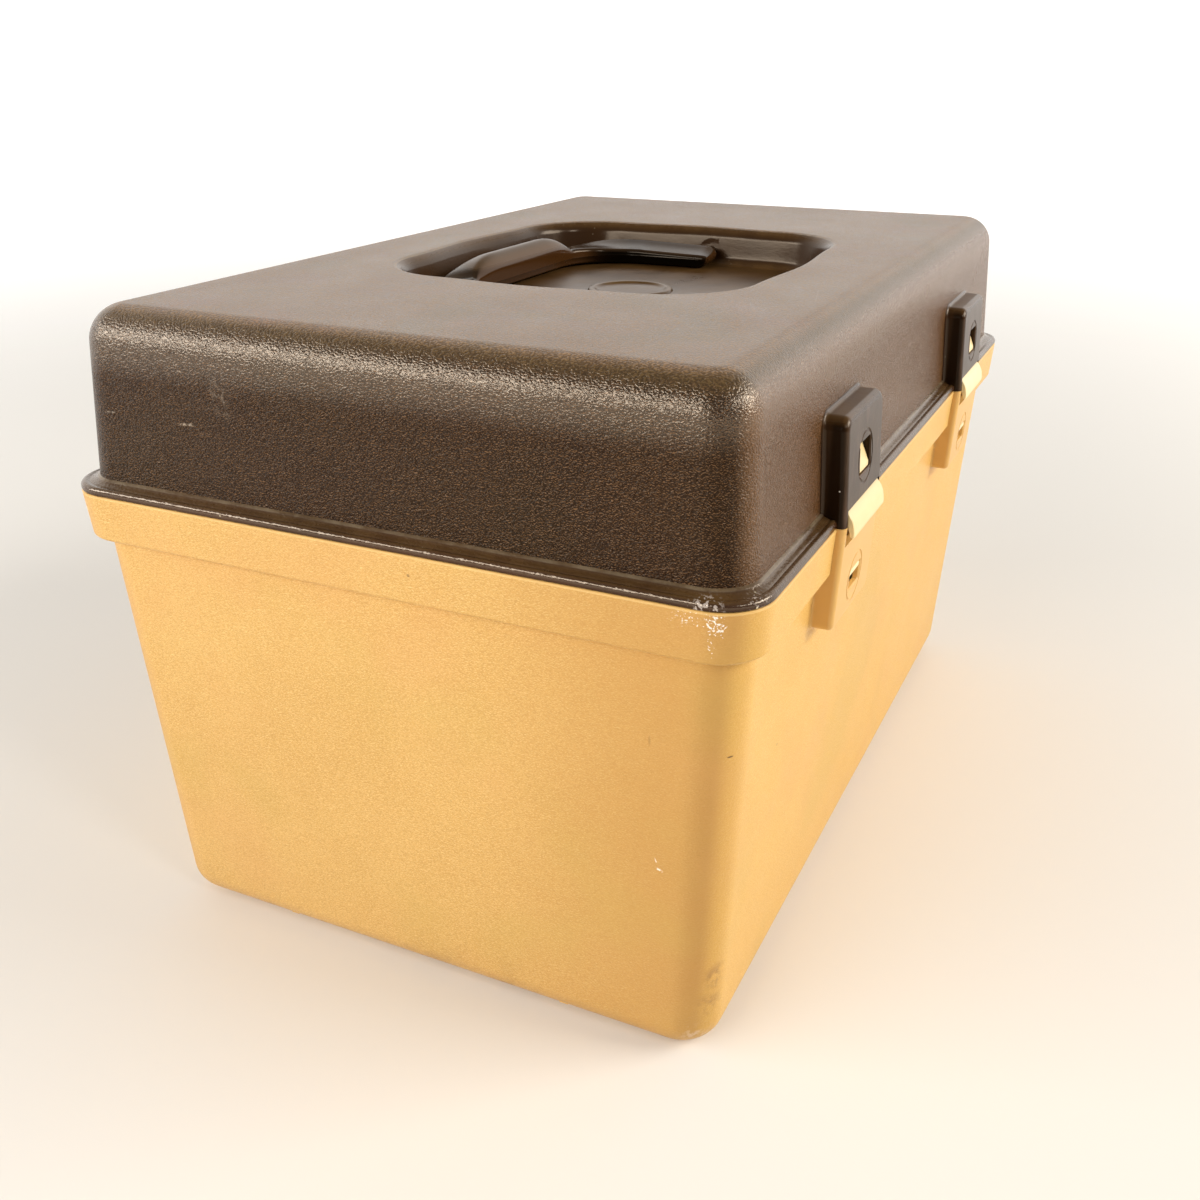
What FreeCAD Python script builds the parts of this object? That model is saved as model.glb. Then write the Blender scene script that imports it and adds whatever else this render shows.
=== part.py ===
import FreeCAD, Part
import math, os

# Moulded plastic sewing box: a drafted tub with a proud rim band, a hinged lid with a
# sunk carrying handle, two barbed spring latches on the front, two pinned hinges at the
# back and a lift-out divided tray.  Millimetres, +Z up, origin under the middle of the
# box on the surface it stands on.  +X right seen from the front, front towards -Y.

V = FreeCAD.Vector

# ---------------------------------------------------------------- driving dimensions
HALF_L = 146.8          # half length at the parting line
HALF_W = 95.25          # half width at the parting line
Z_PART = 129.6          # parting line between tub rim and lid flange
Z_BAND = 116.9          # underside of the proud rim band
Z_TOP = 176.6           # top of the lid
WALL = 2.2              # general wall

BASE_L0, BASE_W0 = 136.9, 84.8      # tub half sizes at the floor
BASE_L1, BASE_W1 = 142.6, 91.1      # tub half sizes under the band
BASE_R = 11.0                       # tub upright corner radius
BASE_RB = 8.5                       # tub bottom edge radius
BAND_TAPER = 0.75                   # the band is this much smaller at its lower edge
BAND_R = 12.5                       # band and flange corner radius

LID_GAP = 0.05
LID_L0, LID_W0 = 142.8, 91.3        # lid wall half sizes at the parting line
LID_L1, LID_W1 = 140.1, 88.8        # lid wall half sizes at the top
LID_R = 10.5                        # lid upright corner radius
LID_RT = 9.0                        # rolled top edge
BEAD_H = 2.15                       # bead height over the parting line
BEAD_R = 1.1
LEDGE_H = 2.95                      # ledge between bead and wall

REC_X = -1.5                        # recess centre
REC_L, REC_W = 63.3, 55.5           # recess half sizes at the top
REC_DRAFT = 2.2
REC_R = 27.0
REC_FLOOR = 164.5
REC_BOW = 2.2                       # how far each side of the recess bows out

PIV_Y, PIV_Z = -5.2, 168.5          # handle pivot
ARM_OUT, ARM_IN = 58.7, 47.2        # handle arm faces from the recess centre
GRIP_OUT, GRIP_IN = 48.6, 35.4      # grip faces from y = 0
HANDLE_Z0, HANDLE_Z1 = 164.95, 171.6
GRIP_TOP = 175.75                   # crest of the grip
GRIP_HALF = 33.0                    # half length of the grip
STUB_R, STUB_BORE = 2.0, 2.05
STUB_END = 65.0

LATCH_X = 71.5                      # latch and hinge stations, left and right
PAD_HW = 17.0                       # half width of latch housings
PAD_SIDE = 2.0
PAD_FRONT = 1.8
PAD_Y = -97.4                       # housing faces at the parting line
PAD_SLOPE = 0.0512
PAD_BOT = 102.0
PAD_SLOT_TOP = 124.3                # top of the tub housing's front wall
HOUS_SLOT = 133.7                   # lower edge of the lid housing's front wall
HOUS_TOP = 156.6
WIN_HW = 5.0                        # half width of the windows
WIN_UP = (139.2, 147.4)
WIN_LO = (108.6, 114.2)

STRIP_Y0, STRIP_Y1 = -93.8, -92.3
STRIP_HW = 14.0
STRIP_Z0, STRIP_Z1 = 106.4, 150.6
LIP_HW = 14.6
LIP_Y = -99.1

HINGE_Y, HINGE_Z = 95.4, 129.6
KNUCKLE_R = 3.2
PIN_R, PIN_BORE = 1.25, 1.31
KNUCKLE_HW = 7.0
EAR_END = 14.3
EAR_GAP = 0.3

TRAY_Z0, TRAY_Z1 = 84.0, 121.0
TRAY_L0, TRAY_W0 = 135.2, 83.9
TRAY_L1, TRAY_W1 = 137.0, 85.7
TRAY_RIM_L, TRAY_RIM_W = 138.3, 86.9
TRAY_WALL = 1.6
TRAY_R = 13.0


# ---------------------------------------------------------------- helpers
def rect(hx, hy, z, cx=0.0, cy=0.0):
    p = [V(cx - hx, cy - hy, z), V(cx + hx, cy - hy, z), V(cx + hx, cy + hy, z), V(cx - hx, cy + hy, z)]
    return Part.makePolygon(p + [p[0]])


def level_edges(shape, z, tol=1e-4):
    out = []
    for e in shape.Edges:
        b = e.BoundBox
        if abs(b.ZMin - z) < tol and abs(b.ZMax - z) < tol:
            out.append(e)
    return out


def block(hx0, hy0, z0, hx1, hy1, z1, r=0.0, top=0.0, bottom=0.0, cx=0.0, cy=0.0):
    """Drafted block with rounded upright, top and bottom edges."""
    s = Part.makeLoft([rect(hx0, hy0, z0, cx, cy), rect(hx1, hy1, z1, cx, cy)], True, True)
    if r:
        s = s.makeFillet(r, [e for e in s.Edges if abs(e.Vertexes[0].Z - e.Vertexes[-1].Z) > 1e-3])
    if top:
        s = s.makeFillet(top, level_edges(s, z1))
    if bottom:
        s = s.makeFillet(bottom, level_edges(s, z0))
    return s


def rounded(hx, hy, r, z):
    """Rounded rectangle as a wire of lines and arcs."""
    k = r * (1 - math.sqrt(0.5))
    e = []
    for sx, sy, first in ((1, 1, 0), (-1, 1, 1), (-1, -1, 0), (1, -1, 1)):
        a, b = V(sx * hx, sy * (hy - r), z), V(sx * (hx - r), sy * hy, z)
        if first:
            a, b = b, a
        e.append(Part.Arc(a, V(sx * (hx - k), sy * (hy - k), z), b).toShape())
    out = []
    for i in range(4):
        out.append(e[i])
        out.append(Part.LineSegment(e[i].Vertexes[-1].Point, e[(i + 1) % 4].Vertexes[0].Point).toShape())
    return Part.Wire(out)


def skirt(hx0, hy0, r0, z0, hx1, hy1, r1, z1):
    """Short flared step between two rounded rectangles."""
    return Part.makeLoft([rounded(hx0, hy0, r0, z0), rounded(hx1, hy1, r1, z1)], True, True)


def box(x0, x1, y0, y1, z0, z1):
    return Part.makeBox(x1 - x0, y1 - y0, z1 - z0, V(x0, y0, z0))


def prism_x(points, x0, x1):
    """Closed outline of (y, z) points swept from x0 to x1."""
    p = [V(x0, y, z) for y, z in points]
    return Part.Face(Part.makePolygon(p + [p[0]])).extrude(V(x1 - x0, 0, 0))


def rod_x(r, x0, x1, y, z):
    return Part.makeCylinder(r, x1 - x0, V(x0, y, z), V(1, 0, 0))


def fuse(first, *others):
    out = first
    for o in others:
        out = out.fuse(o)
    return out.removeSplitter()


def bowed(hx, hy, r, bow, z, cx=0.0):
    """Rounded rectangle whose sides bow out a little: four long arcs and four corner arcs."""
    ax, ay = hx - r, hy - r
    k = math.sqrt(0.5)
    # the corner arcs end a little short of the sides, which bulge by bow at their middles
    def pt(x, y):
        return V(cx + x, y, z)
    e = []
    cs = [(ax, ay), (-ax, ay), (-ax, -ay), (ax, -ay)]
    sx = [1, -1, -1, 1]
    sy = [1, 1, -1, -1]
    rx = r - bow
    for i in range(4):
        x, y = cs[i]
        a = pt(x + sx[i] * rx, y) if i % 2 == 0 else pt(x, y + sy[i] * rx)
        b = pt(x, y + sy[i] * rx) if i % 2 == 0 else pt(x + sx[i] * rx, y)
        m = pt(x + sx[i] * rx * k, y + sy[i] * rx * k)
        e.append(Part.Arc(a, m, b).toShape())
        # side arc to the next corner
        j = (i + 1) % 4
        xn, yn = cs[j]
        if i == 0:
            e.append(Part.Arc(b, pt(0, hy), pt(xn, yn + rx)).toShape())
        elif i == 1:
            e.append(Part.Arc(b, pt(-hx, 0), pt(xn - rx, yn)).toShape())
        elif i == 2:
            e.append(Part.Arc(b, pt(0, -hy), pt(xn, yn - rx)).toShape())
        else:
            e.append(Part.Arc(b, pt(hx, 0), pt(xn + rx, yn)).toShape())
    return Part.Wire(e)


def face_y(z):
    """Front plane of the latch housings; it leans in away from the parting line."""
    return PAD_Y + abs(z - Z_PART) * PAD_SLOPE


def write(shape, name):
    if shape.ShapeType == "Compound" and len(shape.Solids) == 1:
        shape = shape.Solids[0]
    shape.exportStep("parts/" + name + ".step")
    bb = shape.optimalBoundingBox()
    print("%-18s solids %d  valid %s  volume %.1f cm3  box %s" % (
        name, len(shape.Solids), shape.isValid(), shape.Volume / 1000.0,
        [round(v, 2) for v in (bb.XMin, bb.XMax, bb.YMin, bb.YMax, bb.ZMin, bb.ZMax)]))
    return shape


# ---------------------------------------------------------------- tub
def make_tub():
    outer = block(BASE_L0, BASE_W0, 0.0, BASE_L1 + 0.05, BASE_W1 + 0.05, Z_BAND + 1.0, BASE_R, 0.0, BASE_RB)
    band = block(HALF_L - BAND_TAPER, HALF_W - BAND_TAPER, Z_BAND, HALF_L, HALF_W, Z_PART, BAND_R, 0.35, 0.9)
    body = outer.fuse(band)
    for sx in (-1, 1):
        cx = sx * LATCH_X
        # latch housing on the tub: proud of the band, its front wall stops short of the rim
        pad = prism_x([(-89.6, PAD_BOT), (face_y(PAD_BOT), PAD_BOT), (PAD_Y, Z_PART), (-89.6, Z_PART)],
                      cx - PAD_HW, cx + PAD_HW)
        front = [e for e in pad.Edges if e.BoundBox.YMax < -95.0 and e.BoundBox.XLength < 0.01]
        pad = pad.makeFillet(1.6, front)
        low = [e for e in pad.Edges if e.BoundBox.ZMax < PAD_BOT + 0.01 and e.BoundBox.YMin < -92.0
               and e.BoundBox.YMax < -91.0 or (e.BoundBox.ZMax < PAD_BOT + 0.01 and e.BoundBox.YLength < 0.01
                                               and e.BoundBox.YMin < -95.0)]
        try:
            pad = pad.makeFillet(1.0, low)
        except Exception:
            pass
        body = body.fuse(pad)
        # two ears of each hinge, each with a gusset down onto the band
        for a, b in ((-EAR_END, -KNUCKLE_HW - EAR_GAP), (KNUCKLE_HW + EAR_GAP, EAR_END)):
            ear = rod_x(KNUCKLE_R, cx + a, cx + b, HINGE_Y, HINGE_Z)
            gus = prism_x([(93.6, 118.6), (94.7, 118.6), (HINGE_Y + KNUCKLE_R * 0.996, HINGE_Z - 0.3),
                           (93.6, HINGE_Z)], cx + a, cx + b)
            body = body.fuse(ear).fuse(gus)
    # inside: lower cavity with a shoulder where the wall steps out into the band
    low = block(BASE_L0 - WALL, BASE_W0 - WALL, 2.4, BASE_L1 - WALL, BASE_W1 - WALL, Z_BAND + WALL,
                BASE_R - WALL, 0.0, BASE_RB - WALL)
    high = block(HALF_L - BAND_TAPER - WALL, HALF_W - BAND_TAPER - WALL, Z_BAND + WALL,
                 HALF_L - WALL, HALF_W - WALL, Z_PART + 0.5, BAND_R - WALL)
    body = body.cut(low)
    body = body.cut(high)
    # the part of each ear that the rim cavity cut away goes back in
    for sx in (-1, 1):
        cx = sx * LATCH_X
        for a, b in ((-EAR_END, -KNUCKLE_HW - EAR_GAP), (KNUCKLE_HW + EAR_GAP, EAR_END)):
            body = body.fuse(rod_x(KNUCKLE_R, cx + a, cx + b, HINGE_Y, HINGE_Z))
    # eight upright ribs that carry the tray
    for sx in (-1, 1):
        for y in (-44.0, 44.0):
            rib = prism_rib_x(sx, y)
            body = body.fuse(rib)
    for sy in (-1, 1):
        for x in (-96.0, 96.0):
            body = body.fuse(prism_rib_y(sy, x))
    for sx in (-1, 1):
        cx = sx * LATCH_X
        # pocket for the latch strip
        body = body.cut(prism_x([(face_y(106.0) + PAD_FRONT - 0.3, 106.0), (PAD_Y + PAD_FRONT, Z_PART + 1),
                                 (-85.0, Z_PART + 1), (-85.0, Z_BAND + WALL), (-91.2, Z_BAND + WALL),
                                 (-91.2, 106.0)], cx - PAD_HW + PAD_SIDE, cx + PAD_HW - PAD_SIDE))
        # open front above the front wall, where the thumb lip comes out
        body = body.cut(box(cx - PAD_HW + PAD_SIDE, cx + PAD_HW - PAD_SIDE, -100.0, -94.0, PAD_SLOT_TOP, Z_PART + 1))
        # window for the lower barb, inside a shallow round ring
        body = body.cut(box(cx - WIN_HW, cx + WIN_HW, -100.0, -93.0, WIN_LO[0], WIN_LO[1]))
        body = body.cut(ring(cx, 0.5 * (WIN_LO[0] + WIN_LO[1]), 1))
        # room for the lid's knuckle, and the pin's hole through both ears
        body = body.cut(box(cx - KNUCKLE_HW - EAR_GAP, cx + KNUCKLE_HW + EAR_GAP, 91.8, 99.0, 125.9, 134.0))
        body = body.cut(rod_x(PIN_R, cx - EAR_END - 1, cx + EAR_END + 1, HINGE_Y, HINGE_Z))
    # shallow panel under the floor leaves a flat standing rim
    body = body.cut(block(112.8, 60.8, -0.5, 112.8, 60.8, 0.8, 6.0))
    return body.removeSplitter()


def prism_rib_x(sx, y):
    """Support rib on an end wall, up to the tray's underside."""
    p = [V(sx * 133.0, y - 1.25, 3.0), V(sx * 131.6, y - 1.25, TRAY_Z0), V(sx * 139.6, y - 1.25, TRAY_Z0),
         V(sx * 135.6, y - 1.25, 3.0)]
    return Part.Face(Part.makePolygon(p + [p[0]])).extrude(V(0, 2.5, 0))


def prism_rib_y(sy, x):
    p = [V(x - 1.25, sy * 81.4, 3.0), V(x - 1.25, sy * 80.4, TRAY_Z0), V(x - 1.25, sy * 87.8, TRAY_Z0),
         V(x - 1.25, sy * 83.6, 3.0)]
    return Part.Face(Part.makePolygon(p + [p[0]])).extrude(V(2.5, 0, 0))


def ring(cx, z, sign):
    """Shallow round groove on a housing face, around its window."""
    n = V(0, -1, sign * -PAD_SLOPE) if z < Z_PART else V(0, -1, PAD_SLOPE)
    n.normalize()
    c = V(cx, face_y(z), z)
    return Part.makeTorus(6.55, 0.42, c + n * 0.12, n)


# ---------------------------------------------------------------- lid
def make_lid():
    zb = Z_PART + LID_GAP
    shell = block(LID_L0, LID_W0, zb, LID_L1, LID_W1, Z_TOP, LID_R, LID_RT)
    bead = block(HALF_L, HALF_W, zb, HALF_L, HALF_W, Z_PART + BEAD_H, BAND_R, BEAD_R, 0.5)
    ledge = block(LID_L0 + 1.75, LID_W0 + 1.75, zb, LID_L0 + 1.55, LID_W0 + 1.55, Z_PART + LEDGE_H, LID_R + 1.6, 0.7)
    k = (LID_L0 - LID_L1) / (Z_TOP - zb)
    kw = (LID_W0 - LID_W1) / (Z_TOP - zb)
    cove = skirt(LID_L0 + 0.55, LID_W0 + 0.55, LID_R + 0.5, Z_PART + LEDGE_H - 0.5,
                 LID_L0 - (LEDGE_H + 0.9) * k, LID_W0 - (LEDGE_H + 0.9) * kw, LID_R, Z_PART + LEDGE_H + 0.9)
    body = shell.fuse(bead).fuse(ledge).fuse(cove)
    # latch housings
    for sx in (-1, 1):
        cx = sx * LATCH_X
        h = prism_x([(-86.5, zb), (PAD_Y, zb), (face_y(HOUS_TOP), HOUS_TOP), (-86.5, HOUS_TOP)],
                    cx - PAD_HW, cx + PAD_HW)
        # rounded upper corners seen from the front, then softened outer edges
        up = [e for e in h.Edges if e.BoundBox.XLength < 0.01 and e.BoundBox.ZMin > HOUS_TOP - 0.01]
        h = h.makeFillet(3.6, up)
        rim = [e for e in h.Edges if e.BoundBox.YMax < -95.0 and not
               (e.BoundBox.ZMax < zb + 0.01)]
        h = h.makeFillet(1.7, rim)
        body = body.fuse(h)
        # lid knuckle with its web onto the flange
        body = body.fuse(rod_x(KNUCKLE_R, cx - KNUCKLE_HW, cx + KNUCKLE_HW, HINGE_Y, HINGE_Z))
        body = body.fuse(prism_x([(90.4, zb), (HINGE_Y, zb), (HINGE_Y, HINGE_Z + KNUCKLE_R), (92.6, HINGE_Z + 4.2),
                                  (90.4, HINGE_Z + 5.2)], cx - KNUCKLE_HW, cx + KNUCKLE_HW))
    # locating rib inside the tub's rim
    rib = block(HALF_L - 2.7, HALF_W - 2.7, Z_PART - 3.4, HALF_L - 2.65, HALF_W - 2.65, zb + 0.4, BAND_R - 2.6)
    rib = rib.cut(block(HALF_L - 4.1, HALF_W - 4.1, Z_PART - 4.0, HALF_L - 4.1, HALF_W - 4.1, zb + 1.0, BAND_R - 4.0))
    for sx in (-1, 1):
        rib = rib.cut(box(sx * LATCH_X - 19, sx * LATCH_X + 19, -100, 100, 120, 140))
    body = body.fuse(rib)
    # hollow inside, less the moulding that forms the handle recess
    cav = block(LID_L0 - WALL, LID_W0 - WALL, zb, LID_L1 - WALL - 0.1, LID_W1 - WALL - 0.1, Z_TOP - WALL,
                LID_R - WALL, LID_RT - WALL)
    cav = cav.fuse(block(LID_L0 - WALL, LID_W0 - WALL, zb - 1.0, LID_L0 - WALL, LID_W0 - WALL, zb + 0.02, LID_R - WALL))
    w = WALL
    rec_out = Part.makeLoft([bowed(REC_L + w, REC_W + w, REC_R + w, REC_BOW, Z_TOP + 1, REC_X),
                             bowed(REC_L + w - REC_DRAFT, REC_W + w - REC_DRAFT, REC_R + w - REC_DRAFT, REC_BOW,
                                   REC_FLOOR - w, REC_X)], True, True)
    for sx in (-1, 1):
        x0, x1 = sorted((REC_X + sx * 60.0, REC_X + sx * 67.2))
        rec_out = rec_out.fuse(rod_x(4.6, x0, x1, PIV_Y, PIV_Z))
    cav = cav.cut(rec_out)
    body = body.cut(cav)
    rec = Part.makeLoft([bowed(REC_L, REC_W, REC_R, REC_BOW, Z_TOP, REC_X),
                         bowed(REC_L - REC_DRAFT, REC_W - REC_DRAFT, REC_R - REC_DRAFT, REC_BOW, REC_FLOOR, REC_X)],
                        True, True)
    rec = rec.makeFillet(3.0, level_edges(rec, REC_FLOOR))
    body = body.cut(rec)
    # rolled rim of the recess
    edges = [e for e in level_edges(body, Z_TOP, 1e-3)
             if e.BoundBox.XMin > REC_X - 70 and e.BoundBox.XMax < REC_X + 70
             and e.BoundBox.YMin > -60 and e.BoundBox.YMax < 60]
    try:
        body = body.makeFillet(3.4, edges)
    except Exception as err:
        print("recess rim fillet left out:", err)
    # plain round boss in the middle of the recess floor
    boss = Part.makeCylinder(13.4, 0.9, V(REC_X + 1.2, -1.2, REC_FLOOR - 0.1))
    boss = boss.makeFillet(0.7, [e for e in boss.Edges if e.BoundBox.ZMin > REC_FLOOR + 0.7])
    dish = Part.makeCone(11.0, 11.8, 0.62, V(REC_X + 1.2, -1.2, REC_FLOOR + 0.3))
    body = body.fuse(boss.cut(dish))
    # bores for the handle's stubs
    for sx in (-1, 1):
        x0, x1 = sorted((REC_X + sx * 58.0, REC_X + sx * (STUB_END + 0.5)))
        body = body.cut(rod_x(STUB_BORE, x0, x1, PIV_Y, PIV_Z))
        cx = sx * LATCH_X
        # latch housing: open below and behind, front wall ends above the thumb lip
        body = body.cut(prism_x([(PAD_Y + PAD_FRONT, zb - 6), (PAD_Y + PAD_FRONT, zb), (face_y(154.2) + PAD_FRONT, 154.2),
                                 (-85.0, 154.2), (-85.0, zb - 6)],
                                cx - PAD_HW + PAD_SIDE, cx + PAD_HW - PAD_SIDE))
        body = body.cut(box(cx - PAD_HW + PAD_SIDE, cx + PAD_HW - PAD_SIDE, -100.0, -94.0, zb - 1, HOUS_SLOT))
        body = body.cut(box(cx - WIN_HW, cx + WIN_HW, -100.0, -93.0, WIN_UP[0], WIN_UP[1]))
        body = body.cut(ring(cx, 0.5 * (WIN_UP[0] + WIN_UP[1]), 1))
        # clear of the tub's ears
        for a, b in ((-EAR_END - 0.4, -KNUCKLE_HW), (KNUCKLE_HW, EAR_END + 0.4)):
            body = body.cut(box(cx + a, cx + b, 91.45, 99.0, zb - 5, 136.4))
        body = body.cut(rod_x(PIN_BORE, cx - KNUCKLE_HW - 1, cx + KNUCKLE_HW + 1, HINGE_Y, HINGE_Z))
    return body.removeSplitter()


# ---------------------------------------------------------------- carrying handle
def u_wire(z):
    def pt(x, y):
        return V(REC_X + x, y, z)
    ro, ri = 31.0, 20.0
    k = math.sqrt(0.5)
    e = []
    def line(a, b):
        e.append(Part.LineSegment(a, b).toShape())
    def corner(a, m, b):
        e.append(Part.Arc(a, m, b).toShape())
    line(pt(ARM_OUT, PIV_Y), pt(ARM_OUT, GRIP_OUT - ro))
    corner(pt(ARM_OUT, GRIP_OUT - ro), pt(ARM_OUT - ro + ro * k, GRIP_OUT - ro + ro * k), pt(ARM_OUT - ro, GRIP_OUT))
    line(pt(ARM_OUT - ro, GRIP_OUT), pt(-ARM_OUT + ro, GRIP_OUT))
    corner(pt(-ARM_OUT + ro, GRIP_OUT), pt(-ARM_OUT + ro - ro * k, GRIP_OUT - ro + ro * k), pt(-ARM_OUT, GRIP_OUT - ro))
    line(pt(-ARM_OUT, GRIP_OUT - ro), pt(-ARM_OUT, PIV_Y))
    line(pt(-ARM_OUT, PIV_Y), pt(-ARM_IN, PIV_Y))
    line(pt(-ARM_IN, PIV_Y), pt(-ARM_IN, GRIP_IN - ri))
    corner(pt(-ARM_IN, GRIP_IN - ri), pt(-ARM_IN + ri - ri * k, GRIP_IN - ri + ri * k), pt(-ARM_IN + ri, GRIP_IN))
    line(pt(-ARM_IN + ri, GRIP_IN), pt(ARM_IN - ri, GRIP_IN))
    corner(pt(ARM_IN - ri, GRIP_IN), pt(ARM_IN - ri + ri * k, GRIP_IN - ri + ri * k), pt(ARM_IN, GRIP_IN - ri))
    line(pt(ARM_IN, GRIP_IN - ri), pt(ARM_IN, PIV_Y))
    line(pt(ARM_IN, PIV_Y), pt(ARM_OUT, PIV_Y))
    return Part.Wire(e)


def make_handle():
    bar = Part.Face(u_wire(HANDLE_Z0)).extrude(V(0, 0, HANDLE_Z1 - HANDLE_Z0))
    long_edges = [e for z in (HANDLE_Z0, HANDLE_Z1) for e in level_edges(bar, z)
                  if not (e.BoundBox.YMax < PIV_Y + 0.01)]
    bar = bar.makeFillet(1.9, long_edges)
    r = PIV_Z - HANDLE_Z0 - 0.05
    for sx in (-1, 1):
        x0, x1 = sorted((REC_X + sx * ARM_IN, REC_X + sx * ARM_OUT))
        eye = rod_x(r, x0, x1, PIV_Y, PIV_Z)
        eye = eye.makeFillet(1.2, [e for e in eye.Edges if e.BoundBox.XLength < 0.01])
        s0, s1 = sorted((REC_X + sx * (ARM_OUT - 2), REC_X + sx * STUB_END))
        bar = bar.fuse(eye).fuse(rod_x(STUB_R, s0, s1, PIV_Y, PIV_Z))
    # raised grip: steep towards the fingers, domed on top, both ends rounded down
    pad = prism_x([(35.8, 169.1), (35.8, 172.2), (36.6, 173.5), (37.6, 174.7), (38.7, 175.5), (39.8, GRIP_TOP),
                   (41.2, 175.6), (43.2, 174.9), (45.4, 173.5), (47.2, 171.6), (48.2, 170.2), (48.2, 169.1)],
                  -0.4 - GRIP_HALF, -0.4 + GRIP_HALF)
    side = []
    for d, z in ((0.0, 170.1), (0.6, 171.1), (2.4, 172.5), (4.6, 173.6), (7.7, 174.6), (11.5, 175.4), (15.5, 176.0)):
        side.append((GRIP_HALF - d, z))
    outline = [(GRIP_HALF, 168.0)] + side + [(-x, z) for x, z in reversed(side)] + [(-GRIP_HALF, 168.0)]
    wire = Part.makePolygon([V(-0.4 + x, 30.0, z) for x, z in outline + outline[:1]])
    pad = pad.common(Part.Face(wire).extrude(V(0, 24.0, 0)))
    return bar.fuse(pad).removeSplitter()


# ---------------------------------------------------------------- latch
def make_latch(cx):
    strip = box(cx - STRIP_HW, cx + STRIP_HW, STRIP_Y0, STRIP_Y1, STRIP_Z0, STRIP_Z1)
    strip = strip.makeFillet(2.0, [e for e in strip.Edges if e.BoundBox.XLength < 0.01 and e.BoundBox.ZLength < 0.01])
    lip = prism_x([(STRIP_Y0 + 0.2, 133.3), (-96.6, 133.3), (-97.75, 132.2), (-98.5, 130.9), (-98.95, 129.4),
                   (LIP_Y, 127.9), (LIP_Y, 126.7), (-98.0, 126.7), (-97.85, 128.0), (-97.4, 129.3), (-96.7, 130.4),
                   (-95.8, 131.2), (STRIP_Y0 + 0.2, 131.3)], cx - LIP_HW, cx + LIP_HW)
    up = prism_x([(STRIP_Y0 + 0.2, 139.5), (-96.4, 139.5), (-96.4, 140.6), (STRIP_Y0, 147.0), (STRIP_Y0 + 0.2, 147.0)],
                 cx - 4.5, cx + 4.5)
    lo = prism_x([(STRIP_Y0 + 0.2, 113.8), (-96.35, 113.8), (-96.35, 112.6), (STRIP_Y0, 108.9), (STRIP_Y0 + 0.2, 108.9)],
                 cx - 4.5, cx + 4.5)
    return fuse(strip, lip, up, lo)


# ---------------------------------------------------------------- tray
def make_tray():
    outer = block(TRAY_L0, TRAY_W0, TRAY_Z0, TRAY_L1, TRAY_W1, TRAY_Z1 - 0.5, TRAY_R, 0.0, 2.5)
    rim = block(TRAY_RIM_L, TRAY_RIM_W, TRAY_Z1 - 2.0, TRAY_RIM_L, TRAY_RIM_W, TRAY_Z1, TRAY_R + 1.0, 0.6, 0.4)
    t = TRAY_WALL
    cav = block(TRAY_L0 - t, TRAY_W0 - t, TRAY_Z0 + t, TRAY_L1 - t, TRAY_W1 - t, TRAY_Z1 + 0.2, TRAY_R - t, 0.0, 1.2)
    body = outer.fuse(rim).cut(cav)
    inner = block(TRAY_L0 - 0.6, TRAY_W0 - 0.6, TRAY_Z0 + 0.6, TRAY_L1 - 0.6, TRAY_W1 - 0.6, TRAY_Z1 - 0.8, TRAY_R - 0.6)
    walls = [box(-140, 140, y - 0.7, y + 0.7, TRAY_Z0 + 0.8, TRAY_Z1 - 1.0) for y in (-26.0, 26.0)]
    walls += [box(x - 0.7, x + 0.7, -90, -26.0, TRAY_Z0 + 0.8, TRAY_Z1 - 3.0) for x in (-30.0,)]
    walls += [box(x - 0.7, x + 0.7, 26.0, 90, TRAY_Z0 + 0.8, TRAY_Z1 - 3.0) for x in (-68.0, 0.0, 68.0)]
    for w in walls:
        body = body.fuse(w.common(inner))
    for i in range(8):
        x = -119.0 + 34.0 * i
        peg = Part.makeCone(3.0, 2.3, 27.0, V(x, 0, TRAY_Z0 + 0.8))
        peg = peg.makeFillet(1.0, [e for e in peg.Edges if e.BoundBox.ZMin > TRAY_Z0 + 20])
        body = body.fuse(peg)
    # finger tabs at the ends
    for sx in (-1, 1):
        x0, x1 = sorted((sx * 135.0, sx * 137.0))
        tab = box(x0, x1, -17.0, 17.0, TRAY_Z1 - 1.5, TRAY_Z1 + 10.0)
        tab = tab.makeFillet(7.0, [e for e in tab.Edges if e.BoundBox.YLength < 0.01 and e.BoundBox.ZMin > TRAY_Z1 + 9])
        body = body.fuse(tab)
    return body.removeSplitter()


# ---------------------------------------------------------------- build
os.makedirs("parts", exist_ok=True)
write(make_tub(), "tub")
write(make_lid(), "lid")
write(make_handle(), "carry_handle")
write(make_latch(-LATCH_X), "latch_left")
write(make_latch(LATCH_X), "latch_right")
for side, sx in (("left", -1), ("right", 1)):
    pin = rod_x(PIN_R, sx * LATCH_X - EAR_END, sx * LATCH_X + EAR_END, HINGE_Y, HINGE_Z)
    write(pin, "hinge_pin_" + side)
write(make_tray(), "tray")
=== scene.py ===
import math

import bpy
import bmesh
import numpy as np
from mathutils import Matrix, Vector


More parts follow.
